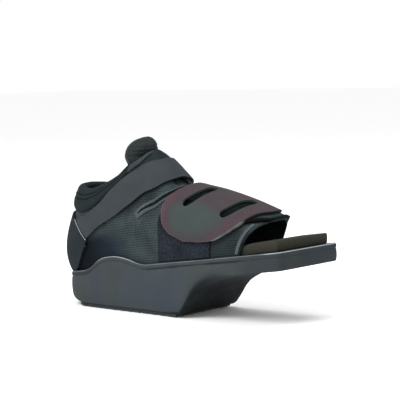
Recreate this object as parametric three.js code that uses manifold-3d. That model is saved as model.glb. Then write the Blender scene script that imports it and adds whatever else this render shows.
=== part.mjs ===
// Post operative shoe with a wedge sole that carries the heel and leaves the forefoot free.
// Millimetres. +X points to the toe, +Y to the inner (medial) side of a right foot, +Z up.
// While it is built, X counts from the back of the heel; at the end the shoe moves so that the
// middle of its tread is the origin.
import * as THREE from 'three';
import { mergeVertices } from 'three/addons/utils/BufferGeometryUtils.js';
import Module from 'manifold-3d';

const wasm = await Module();
wasm.setup();

// Sole
const LENGTH = 291.5;        // heel to toe
const TOE_HALF = 47;         // half width at the toes
const RIM_HEIGHT = 47.2;     // top of the sole above the floor at the ankle
const RIM_AT = 118;          // where RIM_HEIGHT is measured
const WEDGE = 0.134;         // rise of the sole towards the toe
const BLOCK_FRONT = 168;     // front of the part that stands on the floor
const SCOOP_LENGTH = 72;     // curve from the block up to the plate under the toes
const SCOOP_RISE = 45.6;     // height of the underside where that curve ends
const PLATE = 17.2;          // thickness under the toes
const PLATE_AT = 262;        // from here on the sole is that thick
const WING_RISE = 11.3;      // how far the rim rises beside the ankle
const HEEL_ROUND = 13;       // rounding of the bottom edge at the heel
const EDGE_ROUND = 1.4;      // rounding of the bottom edge along the sides
const ROUND_FADE = 34;       // length over which the first becomes the second
// Width of the rim beside the recess, and where along the sole it changes.
const LIP = { heel: 1.8, middle: 2.9, toe: 1.5, heelEnd: 110, middleStart: 130, middleEnd: 240 };
const RECESS = 2;            // how deep the upper and the insole sit in the sole
const RECESS_END = 254;      // where the recess has run out
const RECESS_FADE = 12;      // length over which it runs out
const SEAM = { below: 5, tall: 0.8, deep: 0.9, edge: 0.8 };  // groove under the rim
const RIM_ROUND = { wide: 1.1, tall: 1.4 };
const SIDE_BULGE = 0.5;
const INSOLE = 10;           // footbed thickness
// How far it stands in from the sole's outline, and where along the sole that changes.
const INSOLE_INSET = { heel: 7.2, middle: 6.6, toe: 8.4, middleStart: 60, middleEnd: 200, toeStart: 260 };
const TREAD = { start: 11, end: 163, thick: 3, pitch: 11, groove: 2.2, deep: 1.3, bevel: 0.5, inset: 0.5 };
const ORIGIN_X = 88;         // middle of the tread

// Upper
const BALL_RIM = 6.4;        // sole that shows beside the foot's space at the ball
const BALL_HALF = TOE_HALF - BALL_RIM;  // half width inside at the ball of the foot
const INSTEP = 107.5;        // height inside above the deck, where the sides meet
const WALL = 2;
const GAP = 0.3;             // between pieces that touch
const SLIT_HALF = { tip: 0.5, arm: 1.5 };  // half width of the slit behind the instep
const COLLAR = { drop: 23, puff: 5.2, over: 2.6, lining: 2.8, inside: 11 };
const TONGUE = { thick: 3.6, half: 22, top: 169.6, under: 0.8, bend: 1.25 };

// Overlays
const STRAP = 2.3;
const STRAP_LIFT = 1.4;      // how far the ankle strap stands off over the instep
const OVER = 4.9;            // height of the vamp strap off the foot's surface
const SLOT_HALF = 4.4;
const FLAP = 1.8;
const LOOP = 1.4;
const BINDING = { thick: 0.9, slit: 3.4, clear: 0.4, toeHalf: 1.6 };

const lerp = (a, b, t) => a + (b - a) * t;
const clamp = (x, a, b) => Math.min(b, Math.max(a, x));
const mirrorY = (p) => [p[0], -p[1], p[2]];
const add = (a, b, k = 1) => [a[0] + k * b[0], a[1] + k * b[1], a[2] + k * b[2]];
const sub = (a, b) => [a[0] - b[0], a[1] - b[1], a[2] - b[2]];
const cross = (a, b) => [a[1] * b[2] - a[2] * b[1], a[2] * b[0] - a[0] * b[2], a[0] * b[1] - a[1] * b[0]];
const dot = (a, b) => a[0] * b[0] + a[1] * b[1] + a[2] * b[2];
const unit = (a) => { const l = Math.hypot(...a) || 1; return [a[0] / l, a[1] / l, a[2] / l]; };

/** Smooth value at x through a short table of [x, value] rows. */
function through(table, x) {
  const n = table.length;
  const t = clamp(x, table[0][0], table[n - 1][0]);
  let i = 0;
  while (i < n - 2 && t > table[i + 1][0]) i += 1;
  const [x0, y0] = table[i];
  const [x1, y1] = table[i + 1];
  const slope = (k) => (k <= 0 || k >= n - 1 ? null
    : (table[k + 1][1] - table[k - 1][1]) / (table[k + 1][0] - table[k - 1][0]));
  const h = x1 - x0;
  const m = (y1 - y0) / h;
  const flat = (s, k) => {
    if (s === null) return m;
    const before = (table[k][1] - table[k - 1][1]) * (table[k + 1][1] - table[k][1]);
    return before <= 0 ? 0 : s;
  };
  const m0 = flat(slope(i), i);
  const m1 = flat(slope(i + 1), i + 1);
  const u = (t - x0) / h;
  return y0 * (1 + 2 * u) * (1 - u) ** 2 + h * m0 * u * (1 - u) ** 2
    + y1 * u * u * (3 - 2 * u) - h * m1 * u * u * (1 - u);
}

/** Catmull-Rom through rows of equal length; q counts rows. */
function alongRows(rows, q) {
  const n = rows.length;
  const i = clamp(Math.floor(q), 0, n - 2);
  const t = q - i;
  const at = (k) => (k < 0 ? rows[0].map((v, c) => 2 * v - rows[1][c])
    : k >= n ? rows[n - 1].map((v, c) => 2 * v - rows[n - 2][c]) : rows[k]);
  const [a, b, c, d] = [at(i - 1), at(i), at(i + 1), at(i + 2)];
  return b.map((_, k) => 0.5 * (2 * b[k] + (c[k] - a[k]) * t
    + (2 * a[k] - 5 * b[k] + 4 * c[k] - d[k]) * t * t
    + (3 * b[k] - a[k] - 3 * c[k] + d[k]) * t ** 3));
}

/** Collects triangles and turns them into a mesh or a solid for a boolean. */
class Faces {
  constructor() { this.points = []; }

  tri(a, b, c) { this.points.push(a, b, c); }

  quad(a, b, c, d) {
    const short = Math.hypot(...sub(a, c)) <= Math.hypot(...sub(b, d));
    if (short) { this.tri(a, b, c); this.tri(a, c, d); } else { this.tri(a, b, d); this.tri(b, c, d); }
  }

  /** A grid of points, its rows and columns counter-clockwise from outside. */
  grid(rows, flip = false) {
    for (let i = 0; i + 1 < rows.length; i += 1) {
      for (let j = 0; j + 1 < rows[i].length; j += 1) {
        const q = [rows[i][j], rows[i + 1][j], rows[i + 1][j + 1], rows[i][j + 1]];
        if (flip) q.reverse();
        this.quad(...q);
      }
    }
  }

  indexed() {
    const seen = new Map();
    const vert = [];
    const index = [];
    for (let k = 0; k < this.points.length; k += 3) {
      const ids = [0, 1, 2].map((c) => {
        const p = this.points[k + c];
        const key = p.map((v) => Math.round(v * 500)).join();
        if (!seen.has(key)) { seen.set(key, vert.length / 3); vert.push(...p); }
        return seen.get(key);
      });
      if (ids[0] !== ids[1] && ids[1] !== ids[2] && ids[0] !== ids[2]) index.push(...ids);
    }
    return { vert, index };
  }

  solid() {
    const { vert, index } = this.indexed();
    return new wasm.Manifold(new wasm.Mesh({
      numProp: 3, vertProperties: new Float32Array(vert), triVerts: new Uint32Array(index),
    }));
  }
}

/** One named piece in its own material, moved so that the middle of the tread is the origin. */
function meshOf(name, source, color, roughness) {
  let vert;
  let index;
  if (source instanceof Faces) {
    ({ vert, index } = source.indexed());
  } else {
    const m = source.getMesh();
    vert = [];
    for (let i = 0; i < m.vertProperties.length; i += m.numProp) {
      vert.push(...m.vertProperties.slice(i, i + 3));
    }
    index = Array.from(m.triVerts);
  }
  const moved = vert.map((v, i) => (i % 3 === 0 ? v - ORIGIN_X : v));
  const geometry = new THREE.BufferGeometry();
  geometry.setAttribute('position', new THREE.Float32BufferAttribute(moved, 3));
  geometry.setIndex(index);
  geometry.computeVertexNormals();
  const mesh = new THREE.Mesh(geometry, new THREE.MeshStandardMaterial({ color, roughness, metalness: 0 }));
  mesh.name = name;
  return mesh;
}

/** A solid between an outer and an inner grid of points, closed along all four borders. */
function slab(outer, inner) {
  const faces = new Faces();
  faces.grid(outer);
  faces.grid(inner, true);
  const n = outer.length - 1;
  const m = outer[0].length - 1;
  for (let i = 0; i < n; i += 1) {
    faces.quad(outer[i][0], inner[i][0], inner[i + 1][0], outer[i + 1][0]);
    faces.quad(outer[i + 1][m], inner[i + 1][m], inner[i][m], outer[i][m]);
  }
  for (let j = 0; j < m; j += 1) {
    faces.quad(outer[0][j + 1], inner[0][j + 1], inner[0][j], outer[0][j]);
    faces.quad(outer[n][j], inner[n][j], inner[n][j + 1], outer[n][j + 1]);
  }
  return faces;
}

const slope = (x) => RIM_HEIGHT + WEDGE * (x - RIM_AT);
/** Floor of the recess that the upper and the insole stand on. */
const deck = (x) => slope(x) - RECESS * clamp((RECESS_END - x) / RECESS_FADE, 0, 1);

// Columns: place as a share of LENGTH, rise of the rim as a share of WING_RISE.
const WING = [[0.137, 0], [0.165, 0.23], [0.199, 0.743], [0.24, 1], [0.288, 0.973], [0.343, 0.637],
  [0.384, 0.23], [0.419, 0]].map(([x, rise]) => [x * LENGTH, rise * WING_RISE]);
// Columns: place ahead of BLOCK_FRONT as a share of SCOOP_LENGTH, height as a share of SCOOP_RISE.
const SCOOP = [...[[-0.076, 0], [-0.035, 0.013], [0, 0.048], [0.111, 0.252], [0.208, 0.45], [0.319, 0.614],
  [0.431, 0.724], [0.583, 0.833], [0.792, 0.921], [1, 1]]
  .map(([x, z]) => [BLOCK_FRONT + x * SCOOP_LENGTH, z * SCOOP_RISE]),
...[PLATE_AT, LENGTH].map((x) => [x, slope(x) - PLATE])];
// Half outline from the back of the heel to the middle of the toe.
// Columns: place as a share of LENGTH, half width as a share of TOE_HALF.
const OUTLINE = [[0, 0], [0.0045, 0.2], [0.017, 0.395], [0.04, 0.575], [0.072, 0.7], [0.112, 0.775],
  [0.155, 0.8], [0.2, 0.812], [0.26, 0.828], [0.33, 0.843], [0.41, 0.857], [0.48, 0.877],
  [0.54, 0.905], [0.56, 0.92], [0.58, 0.935], [0.607, 0.95], [0.631, 0.962], [0.659, 0.972],
  [0.686, 0.982], [0.724, 0.992], [0.776, 1], [0.828, 1], [0.88, 1], [0.925, 0.998],
  [0.957, 0.992], [0.977, 0.98], [0.989, 0.955], [0.9955, 0.915], [0.999, 0.85], [1, 0.72], [1, 0.4], [1, 0]]
  .map(([x, half]) => [x * LENGTH, half * TOE_HALF]);

/** Points of the half outline, each with the plan direction that leaves the sole. */
function outline() {
  const last = OUTLINE.length - 1;
  return OUTLINE.map(([x, y], q) => {
    const a = alongRows(OUTLINE, Math.max(0, q - 0.02));
    const b = alongRows(OUTLINE, Math.min(last, q + 0.02));
    const [nx, ny] = q === 0 ? [-1, 0] : q === last ? [1, 0] : unit([a[1] - b[1], b[0] - a[0], 0]);
    return { x, y, nx, ny };
  });
}

/** How far the bottom edge is drawn in beside the outline. */
const bottomRound = (x) => lerp(HEEL_ROUND, EDGE_ROUND, clamp((x - 2) / ROUND_FADE, 0, 1));
/** A width that changes between the heel, the middle and the toe of the sole. */
const alongSole = (size, x, [a, b], [c, d]) => lerp(
  lerp(size.heel, size.middle, clamp((x - a) / (b - a), 0, 1)), size.toe, clamp((x - c) / (d - c), 0, 1));

/** One closed body from rings of half outlines, each given by inset(point) and height(point, x). */
function ringBody(points, rings, across) {
  const at = (ring, p) => {
    const inset = ring.inset(p);
    const x = clamp(p.x - p.nx * inset, 0, LENGTH);
    return [x, Math.max(0, p.y - p.ny * inset), ring.height(p, x)];
  };
  const half = rings.map((ring) => points.map((p) => at(ring, p)));
  const faces = new Faces();
  for (let r = 0; r + 1 < half.length; r += 1) {
    faces.grid([half[r], half[r + 1]]);
    faces.grid([half[r].map(mirrorY), half[r + 1].map(mirrorY)], true);
  }
  const cap = (row, flip) => {
    const rows = row.map(([x, y, z]) => {
      const line = [];
      for (let k = -across; k <= across; k += 1) line.push([x, (y * k) / across, z]);
      return line;
    });
    faces.grid(rows, flip);
  };
  cap(half[0], true);
  cap(half[half.length - 1], false);
  return faces;
}

function midsole() {
  const { below, tall, deep, edge } = SEAM;
  const tread = TREAD.thick + GAP;
  const base = (x) => through(SCOOP, x) + tread * clamp((BLOCK_FRONT + 2 - x) / 6, 0, 1);
  const turn = (share) => (share * Math.PI) / 2;
  const corner = (share) => ({
    inset: (p) => bottomRound(p.x) * (1 - Math.sin(turn(share))),
    height: (p, x) => base(x) + bottomRound(p.x) * 0.9 * (1 - Math.cos(turn(share))),
  });
  const top = (p) => slope(p.x) + through(WING, p.x);
  const lip = (p) => alongSole(LIP, p.x, [LIP.heelEnd, LIP.middleStart], [LIP.middleEnd, RECESS_END]);
  const rings = [
    ...[0, 0.4, 0.7, 1].map(corner),
    { inset: () => -SIDE_BULGE, height: (p, x) => lerp(base(x), slope(p.x), 0.5) },
    { inset: () => deep, height: (p) => top(p) - below - tall / 2 },
    { inset: () => deep, height: (p) => top(p) - below + tall / 2 },
    { inset: () => 0, height: (p) => top(p) - below + tall / 2 + edge },
    { inset: () => 0, height: (p) => top(p) - RIM_ROUND.tall },
    { inset: () => RIM_ROUND.wide, height: top },
    { inset: lip, height: top },
    { inset: lip, height: (p, x) => deck(x) },
  ];
  return ringBody(outline(), rings, 2);
}

/** Solid from a flat outline drawn out over a length, turned by place(). */
function drawnOut(points, length, place) {
  const shape = new THREE.Shape(points.map(([a, b]) => new THREE.Vector2(a, b)));
  const drawn = new THREE.ExtrudeGeometry(shape, { depth: length, bevelEnabled: false });
  drawn.deleteAttribute('normal');
  drawn.deleteAttribute('uv');
  place(drawn);
  const merged = mergeVertices(drawn, 1e-3);
  return new wasm.Manifold(new wasm.Mesh({
    numProp: 3,
    vertProperties: merged.attributes.position.array,
    triVerts: new Uint32Array(merged.index.array),
  }));
}

/** Rubber under the block, with grooves across it. */
function outsole() {
  const { start, end, thick, pitch, groove, deep, bevel, inset } = TREAD;
  const profile = [[start, thick], [start + 0.8, 0.8], [start + 2, 0]];
  const first = ORIGIN_X - pitch * (Math.floor((ORIGIN_X - start) / pitch) - 0.5);
  for (let x = first; x < end - pitch / 2; x += pitch) {
    profile.push([x - groove / 2 - bevel, 0], [x - groove / 2, deep], [x + groove / 2, deep],
      [x + groove / 2 + bevel, 0]);
  }
  profile.push([end - 2, 0], [end - 0.6, 0.5], [end, thick]);
  const ribbed = drawnOut(profile, 2 * TOE_HALF, (g) => g.rotateX(Math.PI / 2).translate(0, TOE_HALF, 0));
  const side = outline().filter((p) => p.x < BLOCK_FRONT + pitch).map((p) => {
    const away = bottomRound(p.x) + (p.x < ROUND_FADE ? -inset : inset);
    return [p.x - p.nx * away, Math.max(0, p.y - p.ny * away)];
  });
  const plan = [...side.map(([x, y]) => [x, -y]), ...side.slice(1).reverse()];
  return ribbed.intersect(drawnOut(plan, 4 * thick, (g) => g.translate(0, 0, -thick)));
}

// Space inside the upper, a row for each section from the back of the heel to the toes. A
// section stands on the deck at x with a half width and runs over two handles to its top.
// Lengths along X are shares of LENGTH, those along Y of BALL_HALF and those along Z of INSTEP.
const LAST = [
  { x: 0.023, half: 0, low: [-0.079, 0, 0.242], high: [-0.045, 0, -0.27], top: [0.057, 0, 0.825] },
  { x: 0.053, half: 0.522, low: [-0.048, 0.222, 0.242], high: [-0.024, 0, -0.26], top: [0.084, 0.47, 0.805] },
  { x: 0.127, half: 0.754, low: [-0.007, 0.1, 0.223], high: [-0.014, 0.222, -0.27], top: [0.148, 0.69, 0.755] },
  { x: 0.213, half: 0.783, low: [0, 0.086, 0.223], high: [-0.007, 0.234, -0.279], top: [0.216, 0.714, 0.777] },
  { x: 0.295, half: 0.813, low: [0.007, 0.099, 0.26], high: [0, 0.296, -0.298], top: [0.274, 0.653, 0.83] },
  { x: 0.364, half: 0.837, low: [0.014, 0.135, 0.31], high: [0.014, 0.345, -0.27], top: [0.322, 0.44, 0.943] },
  { x: 0.425, half: 0.855, low: [0.021, 0.172, 0.353], high: [0.017, 0.616, -0.102], top: [0.364, 0, 1] },
  { x: 0.473, half: 0.867, low: [0.021, 0.148, 0.353], high: [0.014, 0.64, -0.074], top: [0.422, 0, 0.862] },
  { x: 0.518, half: 0.892, low: [0.014, 0.148, 0.353], high: [0.009, 0.665, -0.047], top: [0.47, 0, 0.715] },
  { x: 0.569, half: 0.924, low: [0.007, 0.123, 0.335], high: [0.007, 0.665, -0.019], top: [0.542, 0, 0.627] },
  { x: 0.652, half: 0.968, low: [0.007, 0.086, 0.307], high: [0.007, 0.69, -0.009], top: [0.642, 0, 0.546] },
  { x: 0.738, half: 0.993, low: [0.01, 0.074, 0.26], high: [0.007, 0.714, 0], top: [0.751, 0, 0.431] },
  { x: 0.844, half: 1, low: [0.021, 0.049, 0.195], high: [0.007, 0.739, 0], top: [0.885, 0, 0.256] },
].map(({ x, half, low, high, top }) => [x * LENGTH, half * BALL_HALF,
  ...[low, high, top].flatMap(([a, b, c]) => [a * LENGTH, b * BALL_HALF, c * INSTEP])]);
const LAST_ENDS = LAST.length - 1;
const CLOSED = 6;            // from this section on, both sides meet at the top

/** Point inside the upper: s counts sections from the heel, v goes 0 to 1 up the outer side
 *  (negative Y) and 1 to 2 down the inner side. Negative s is the inner side. */
function lastPoint(s, v) {
  const far = (s < 0) !== (v > 1);
  const w = v > 1 ? 2 - v : v;
  const q = Math.abs(s);
  const i = clamp(Math.floor(q), 0, LAST_ENDS - 1);
  const mirrored = LAST[1].map((c, k) => ([1, 3, 6, 9].includes(k) ? -c : c));
  const row = i === 0
    ? alongRows([mirrored, LAST[0], LAST[1], LAST[2]], q + 1)
    : alongRows(LAST, q);
  const [x, y, ax, ay, az, bx, by, bz, tx, ty, tz] = row;
  const foot = [x, y, deck(x) + GAP];
  const one = add(foot, [ax, ay, az]);
  const top = [tx, q >= CLOSED ? 0 : Math.max(0, ty), deck(x) + tz];
  const two = add(top, [bx, by, bz]);
  const p = [0, 1, 2].map((k) => (1 - w) ** 3 * foot[k] + 3 * (1 - w) ** 2 * w * one[k]
    + 3 * (1 - w) * w * w * two[k] + w ** 3 * top[k]);
  return far ? p : mirrorY(p);
}

/** Unit steps along s and v, and the direction out of the upper. */
function lastFrame(s, v) {
  const h = 1e-3;
  const p = lastPoint(s, v);
  const s1 = Math.min(s + h, LAST_ENDS);
  const s0 = Math.max(s - h, -LAST_ENDS);
  const ds = sub(lastPoint(s1, v), lastPoint(s0, v)).map((c) => c / (s1 - s0));
  const open = Math.abs(s) < CLOSED && Math.abs(v - 1) < 2 * h;
  const v1 = open ? Math.min(v, 1) : v + h;
  const v0 = v - h;
  const dv = sub(lastPoint(s, v1), lastPoint(s, v0)).map((c) => c / (v1 - v0));
  // At the sole the wall's thickness lies level, so that its edge stands flat on the deck.
  const low = clamp((v > 1 ? 2 - v : v) / 0.1, 0, 1);
  const n = unit(cross(ds, dv));
  return { p, ds, dv, n: unit([n[0], n[1], n[2] * low]) };
}

/** Point at a distance off the last, outwards positive. */
function skin(s, v, off) {
  const f = lastFrame(s, v);
  return add(f.p, f.n, off);
}

/** Moves (s, v) sideways by a distance on the surface, to the left of the way (ts, tv). */
function sideways(s, v, ts, tv, distance) {
  const { ds, dv } = lastFrame(s, v);
  const [E, F, G] = [dot(ds, ds), dot(ds, dv), dot(dv, dv)];
  const ns = -(F * ts + G * tv);
  const nv = E * ts + F * tv;
  const k = distance / Math.sqrt(E * ns * ns + 2 * F * ns * nv + G * nv * nv);
  return [s + ns * k, v + nv * k];
}

/** A flat strip on the upper between two edges given as rows of [s, v]. */
function ribbon(rear, front, rowsPer, columns, off, thick) {
  const rows = rear.map((p, i) => [...p, ...front[i]]);
  const steps = (rows.length - 1) * rowsPer;
  const outer = [];
  const inner = [];
  for (let i = 0; i <= steps; i += 1) {
    const [s0, v0, s1, v1] = alongRows(rows, i / rowsPer);
    const o = [];
    const n = [];
    for (let j = 0; j <= columns; j += 1) {
      const c = j / columns;
      const s = lerp(s0, s1, c);
      const v = lerp(v0, v1, c);
      const base = off(i / steps, c, s, v);
      const edge = Math.min(c, 1 - c) * 2 * columns < 1 || i === 0 || i === steps ? 0.4 : 0;
      n.push(skin(s, v, base));
      o.push(skin(s, v, base + thick - edge));
    }
    outer.push(o);
    inner.push(n);
  }
  return { outer, inner };
}

/** Strip along a path of [s, v] with its two widths left and right of the path in millimetres. */
function strip(path, samples, left, right, off, thick) {
  const at = (t) => alongRows(path, t * (path.length - 1));
  const outer = [];
  const inner = [];
  for (let i = 0; i <= samples; i += 1) {
    const t = i / samples;
    const [s, v] = at(t);
    const a = at(Math.max(0, t - 0.01));
    const b = at(Math.min(1, t + 0.01));
    const way = [b[0] - a[0], b[1] - a[1]];
    const sides = [left(t), -right(t)].map((d) => sideways(s, v, way[0], way[1], d));
    outer.push(sides.map(([a1, b1]) => skin(a1, b1, off + thick)));
    inner.push(sides.map(([a1, b1]) => skin(a1, b1, off)));
  }
  return { outer, inner };
}

const flipRows = (g) => g.map((row) => [...row].reverse());
const lateral = (g) => slab(flipRows(g.outer), flipRows(g.inner));
const medial = (g) => slab(g.outer.map((r) => r.map(mirrorY)), g.inner.map((r) => r.map(mirrorY)));

// The way of the slit that parts the ankle piece from the vamp, from its tip up to the throat.
const SLIT = [[5.46, 0.438], [6.2, 0.442], [7.01, 0.523], [7.85, 0.655], [8.4, 0.79], [8.64, 0.9], [8.72, 1]];
const THROAT = { start: 5.95, end: 8.75, share: 0.14 };

/** Share of the section at which the upper ends, so that the throat stays open. */
function throatTop(s) {
  const q = Math.abs(s);
  if (q <= THROAT.start || q >= THROAT.end) return 1;
  const rise = clamp((q - THROAT.start) / 0.7, 0, 1);
  const fall = clamp((THROAT.end - q) / 0.7, 0, 1);
  return 1 - THROAT.share * Math.sin((rise * Math.PI) / 2) * Math.sin((fall * Math.PI) / 2);
}

// Section where the upper ends over the toes, and how much sooner it does low on the inner side.
const TOE_EDGE = 11.86;
const TOE_SLANT = 0.55;
const SLANT_FROM = 10.3;
const slant = (v) => TOE_SLANT * (1 - v) ** 1.2;
// Where the heel's sections are cut, for the upper and for the roll around its collar.
const HEEL_STATIONS = [0, 0.25, 0.5, 0.75, 1, 1.25, 1.55, 1.9, 2.3, 2.8, 3.3, 3.8, 4.25, 4.7];

function upperBody() {
  const stations = [...HEEL_STATIONS, 5, 5.3, 5.6, 6, 6.4, 6.8, 7.2, 7.7, 8.2, 8.5, 8.75, 9.2, 9.7, 10.3, 10.9,
    11.4, TOE_EDGE];
  const way = [...stations.slice(1).reverse().map((s) => -s), ...stations];
  const rows = 8;
  const grid = (off) => way.map((s) => {
    const line = [];
    for (let j = 0; j <= rows; j += 1) {
      const v = (throatTop(s) * j) / rows;
      const back = slant(v) * clamp((-s - SLANT_FROM) / (TOE_EDGE - SLANT_FROM), 0, 1);
      line.push(skin(s + back, v, off));
    }
    return line;
  });
  const outer = grid(WALL);
  const inner = grid(0);
  const faces = new Faces();
  faces.grid(outer);
  faces.grid(inner, true);
  const n = way.length - 1;
  for (let i = 0; i < n; i += 1) {
    faces.quad(outer[i][0], inner[i][0], inner[i + 1][0], outer[i + 1][0]);
    const open = Math.abs(way[i]) < THROAT.end && Math.abs(way[i + 1]) <= THROAT.end
      || Math.abs(way[i + 1]) < THROAT.end;
    if (open) faces.quad(outer[i + 1][rows], inner[i + 1][rows], inner[i][rows], outer[i][rows]);
  }
  for (let j = 0; j < rows; j += 1) {
    faces.quad(outer[0][j + 1], inner[0][j + 1], inner[0][j], outer[0][j]);
    faces.quad(outer[n][j], inner[n][j], inner[n][j + 1], outer[n][j + 1]);
  }
  return faces;
}

/** Half width of the slit at a share of its way. */
const slitHalf = (t) => lerp(SLIT_HALF.tip, SLIT_HALF.arm, clamp(t * 4, 0, 1));

function upper() {
  const cut = strip([...SLIT, [8.74, 1.12]], 10, slitHalf, slitHalf, -WALL, 3 * WALL);
  return upperBody().solid().subtract(lateral(cut).solid()).subtract(medial(cut).solid());
}

// Columns: section counted from the heel, share of the roll's drop or of its puff.
const ROLL_DROP = [[0, 1], [1, 0.96], [2, 0.91], [2.55, 0.79], [2.92, 0.66], [3.3, 0.54], [3.8, 0.41],
  [4.4, 0.34], [5, 0.34]];
const ROLL_PUFF = [[0, 1], [1, 0.962], [1.8, 0.731], [2.6, 0.577], [3.4, 0.462], [5, 0.346]];
// The roll's face. Columns: way down the outside as a share of the drop, share of the puff.
const ROLL_FACE = [[1, 0], [1, 0.35], [0.82, 0.85], [0.5, 1], [0.2, 0.85]];
const ROLL_END = [[0, 1, 2], [0, 2, 17], [2, 3, 17], [3, 16, 17], [3, 4, 16], [4, 15, 16], [4, 5, 15],
  [5, 14, 15], [5, 6, 14], [6, 7, 14], [7, 13, 14], [7, 8, 13], [8, 12, 13], [8, 9, 12], [9, 10, 11],
  [9, 11, 12]];

/** Roll of padding that wraps over the collar edge from side to side around the heel. */
function collarPad() {
  const { over, lining, inside } = COLLAR;
  const base = WALL + 1.5 * GAP;
  const stations = [...HEEL_STATIONS.slice(1).reverse().map((s) => -s), ...HEEL_STATIONS];
  const rings = stations.map((s) => {
    const f = lastFrame(s, 1);
    const up = unit(f.dv);
    const long = Math.hypot(...f.dv) * 0.98;
    const drop = COLLAR.drop * through(ROLL_DROP, Math.abs(s));
    const puff = COLLAR.puff * through(ROLL_PUFF, Math.abs(s));
    const at = (d, off) => (d >= 0 ? skin(s, 1 - d / long, off) : add(add(f.p, f.n, off), up, -d));
    return [
      ...ROLL_FACE.map(([down, out]) => at(down * drop, base + out * puff)),
      at(-0.4, base + 0.55 * puff), at(-over, WALL / 2 + 0.25 * puff), at(-over, 0),
      at(-0.6, 0.6 - lining), at(0.36 * inside, -lining), at(0.82 * inside, 0.8 - lining), at(inside, -GAP),
      at(0, -GAP), at(-GAP, -GAP), at(-GAP, base), at(0, base), at(0.35 * drop, base), at(0.7 * drop, base),
    ];
  });
  const faces = new Faces();
  faces.grid(rings.map((r) => [...r, r[0]]));
  const last = rings[rings.length - 1];
  for (const [a, b, c] of ROLL_END) {
    faces.tri(rings[0][a], rings[0][b], rings[0][c]);
    faces.tri(last[a], last[c], last[b]);
  }
  return faces;
}

function insole() {
  const { middleStart, middleEnd, toeStart } = INSOLE_INSET;
  const inset = (p) => alongSole(INSOLE_INSET, p.x, [0, middleStart], [middleEnd, toeStart]);
  // Columns: drawn in beside the outline, height within the insole.
  const edge = [[0.8, 0], [0, 0.9], [0, INSOLE - 1.2], [0.5, INSOLE - 0.3], [1.4, INSOLE]];
  const rings = edge.map(([away, z]) => ({
    inset: (p) => inset(p) + away, height: (p, x) => deck(x) + GAP + z,
  }));
  return ringBody(outline(), rings, 2);
}

/** Depth of a point under the last's surface near (s, v), found from a coarse start. */
function nearest(p, s0, s1) {
  const q = p[1] > 0 ? mirrorY(p) : p;
  let best = [Infinity, 0, 0];
  for (let s = s0; s <= s1; s += 0.25) {
    for (let v = 0.4; v <= 1; v += 0.05) {
      const d = Math.hypot(...sub(q, lastPoint(s, v)));
      if (d < best[0]) best = [d, s, v];
    }
  }
  let [, s, v] = best;
  for (let k = 0; k < 4; k += 1) {
    const f = lastFrame(s, v);
    const r = sub(q, f.p);
    const [E, F, G] = [dot(f.ds, f.ds), dot(f.ds, f.dv), dot(f.dv, f.dv)];
    const [a, b] = [dot(r, f.ds), dot(r, f.dv)];
    const det = E * G - F * F;
    s = clamp(s + clamp((a * G - b * F) / det, -0.3, 0.3), s0, s1);
    v = clamp(v + clamp((b * E - a * F) / det, -0.05, 0.05), 0.3, 1);
  }
  const f = lastFrame(s, v);
  const apart = sub(q, f.p);
  return { s, v, n: p[1] > 0 ? mirrorY(f.n) : f.n, off: dot(apart, f.n), away: Math.hypot(...apart) };
}

/** Moves a point of the tongue inwards until it clears the upper and the roll at the collar. */
function tuck(p) {
  if (p[2] > 0.93 * TONGUE.top) return p;
  const hit = nearest(p, 3, 10);
  const beyond = hit.v > 0.995 && hit.s < CLOSED - 0.05
    && Math.hypot(hit.away, -hit.off) > 1.42 * Math.abs(hit.off) + 3.5;
  if (beyond) return p;
  const clear = GAP + 0.9 + 3.4 * clamp(5.5 - hit.s, 0, 0.9);
  return hit.off > -clear ? add(p, hit.n, -clear - hit.off) : p;
}

// The tongue's part under the throat. Columns: section, half spread as a share of that section.
const TONGUE_UNDER = [[9.7, 0.2], [9, 0.26], [8.3, 0.3], [7.5, 0.32], [6.9, 0.33]];
// Its shield above the collar. Columns: middle x, middle z, edge x, half width, edge z, as shares
// of LENGTH for x, of the tongue's top for z and of its half width.
const TONGUE_SHIELD = [
  [0.365, 0.89, 0.302, 1, 0.843], [0.36, 0.932, 0.288, 0.977, 0.89], [0.352, 0.967, 0.29, 0.841, 0.94],
  [0.34, 0.991, 0.302, 0.591, 0.976], [0.329, 1, 0.317, 0.227, 0.995]];

/** Tongue: lies under the throat, then rises as a rounded shield in front of the ankle. */
function tongue() {
  const { thick, half, top, under, bend } = TONGUE;
  const columns = 10;
  const per = 2;
  const across = (f) => Array.from({ length: columns + 1 }, (_, j) => f((2 * j) / columns - 1)).flat();
  const rows = [
    ...TONGUE_UNDER.map(([s, reach]) => across((c) => skin(s, 1 + c * reach, -under))),
    ...TONGUE_SHIELD.map(([mx, mz, ex, w, ez]) => across((c) => {
      const k = (1 - Math.cos(c * bend)) / (1 - Math.cos(bend));
      const y = (w * half * Math.sin(c * bend)) / Math.sin(bend);
      return [lerp(mx, ex, k) * LENGTH, y, lerp(mz, ez, k) * top];
    })),
  ];
  const steps = (rows.length - 1) * per;
  const face = Array.from({ length: steps + 1 }, (_, i) => {
    const flat = alongRows(rows, i / per);
    return Array.from({ length: columns + 1 }, (__, j) => tuck(flat.slice(3 * j, 3 * j + 3)));
  });
  const back = face.map((line, i) => line.map((p, j) => {
    const du = sub(face[Math.min(i + 1, steps)][j], face[Math.max(i - 1, 0)][j]);
    const dv = sub(line[Math.min(j + 1, columns)], line[Math.max(j - 1, 0)]);
    const rim = Math.min(j, columns - j, i, steps - i) === 0;
    return add(p, unit(cross(du, dv)), rim ? thick / 2 : thick);
  }));
  return slab(flipRows(face), flipRows(back));
}

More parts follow.
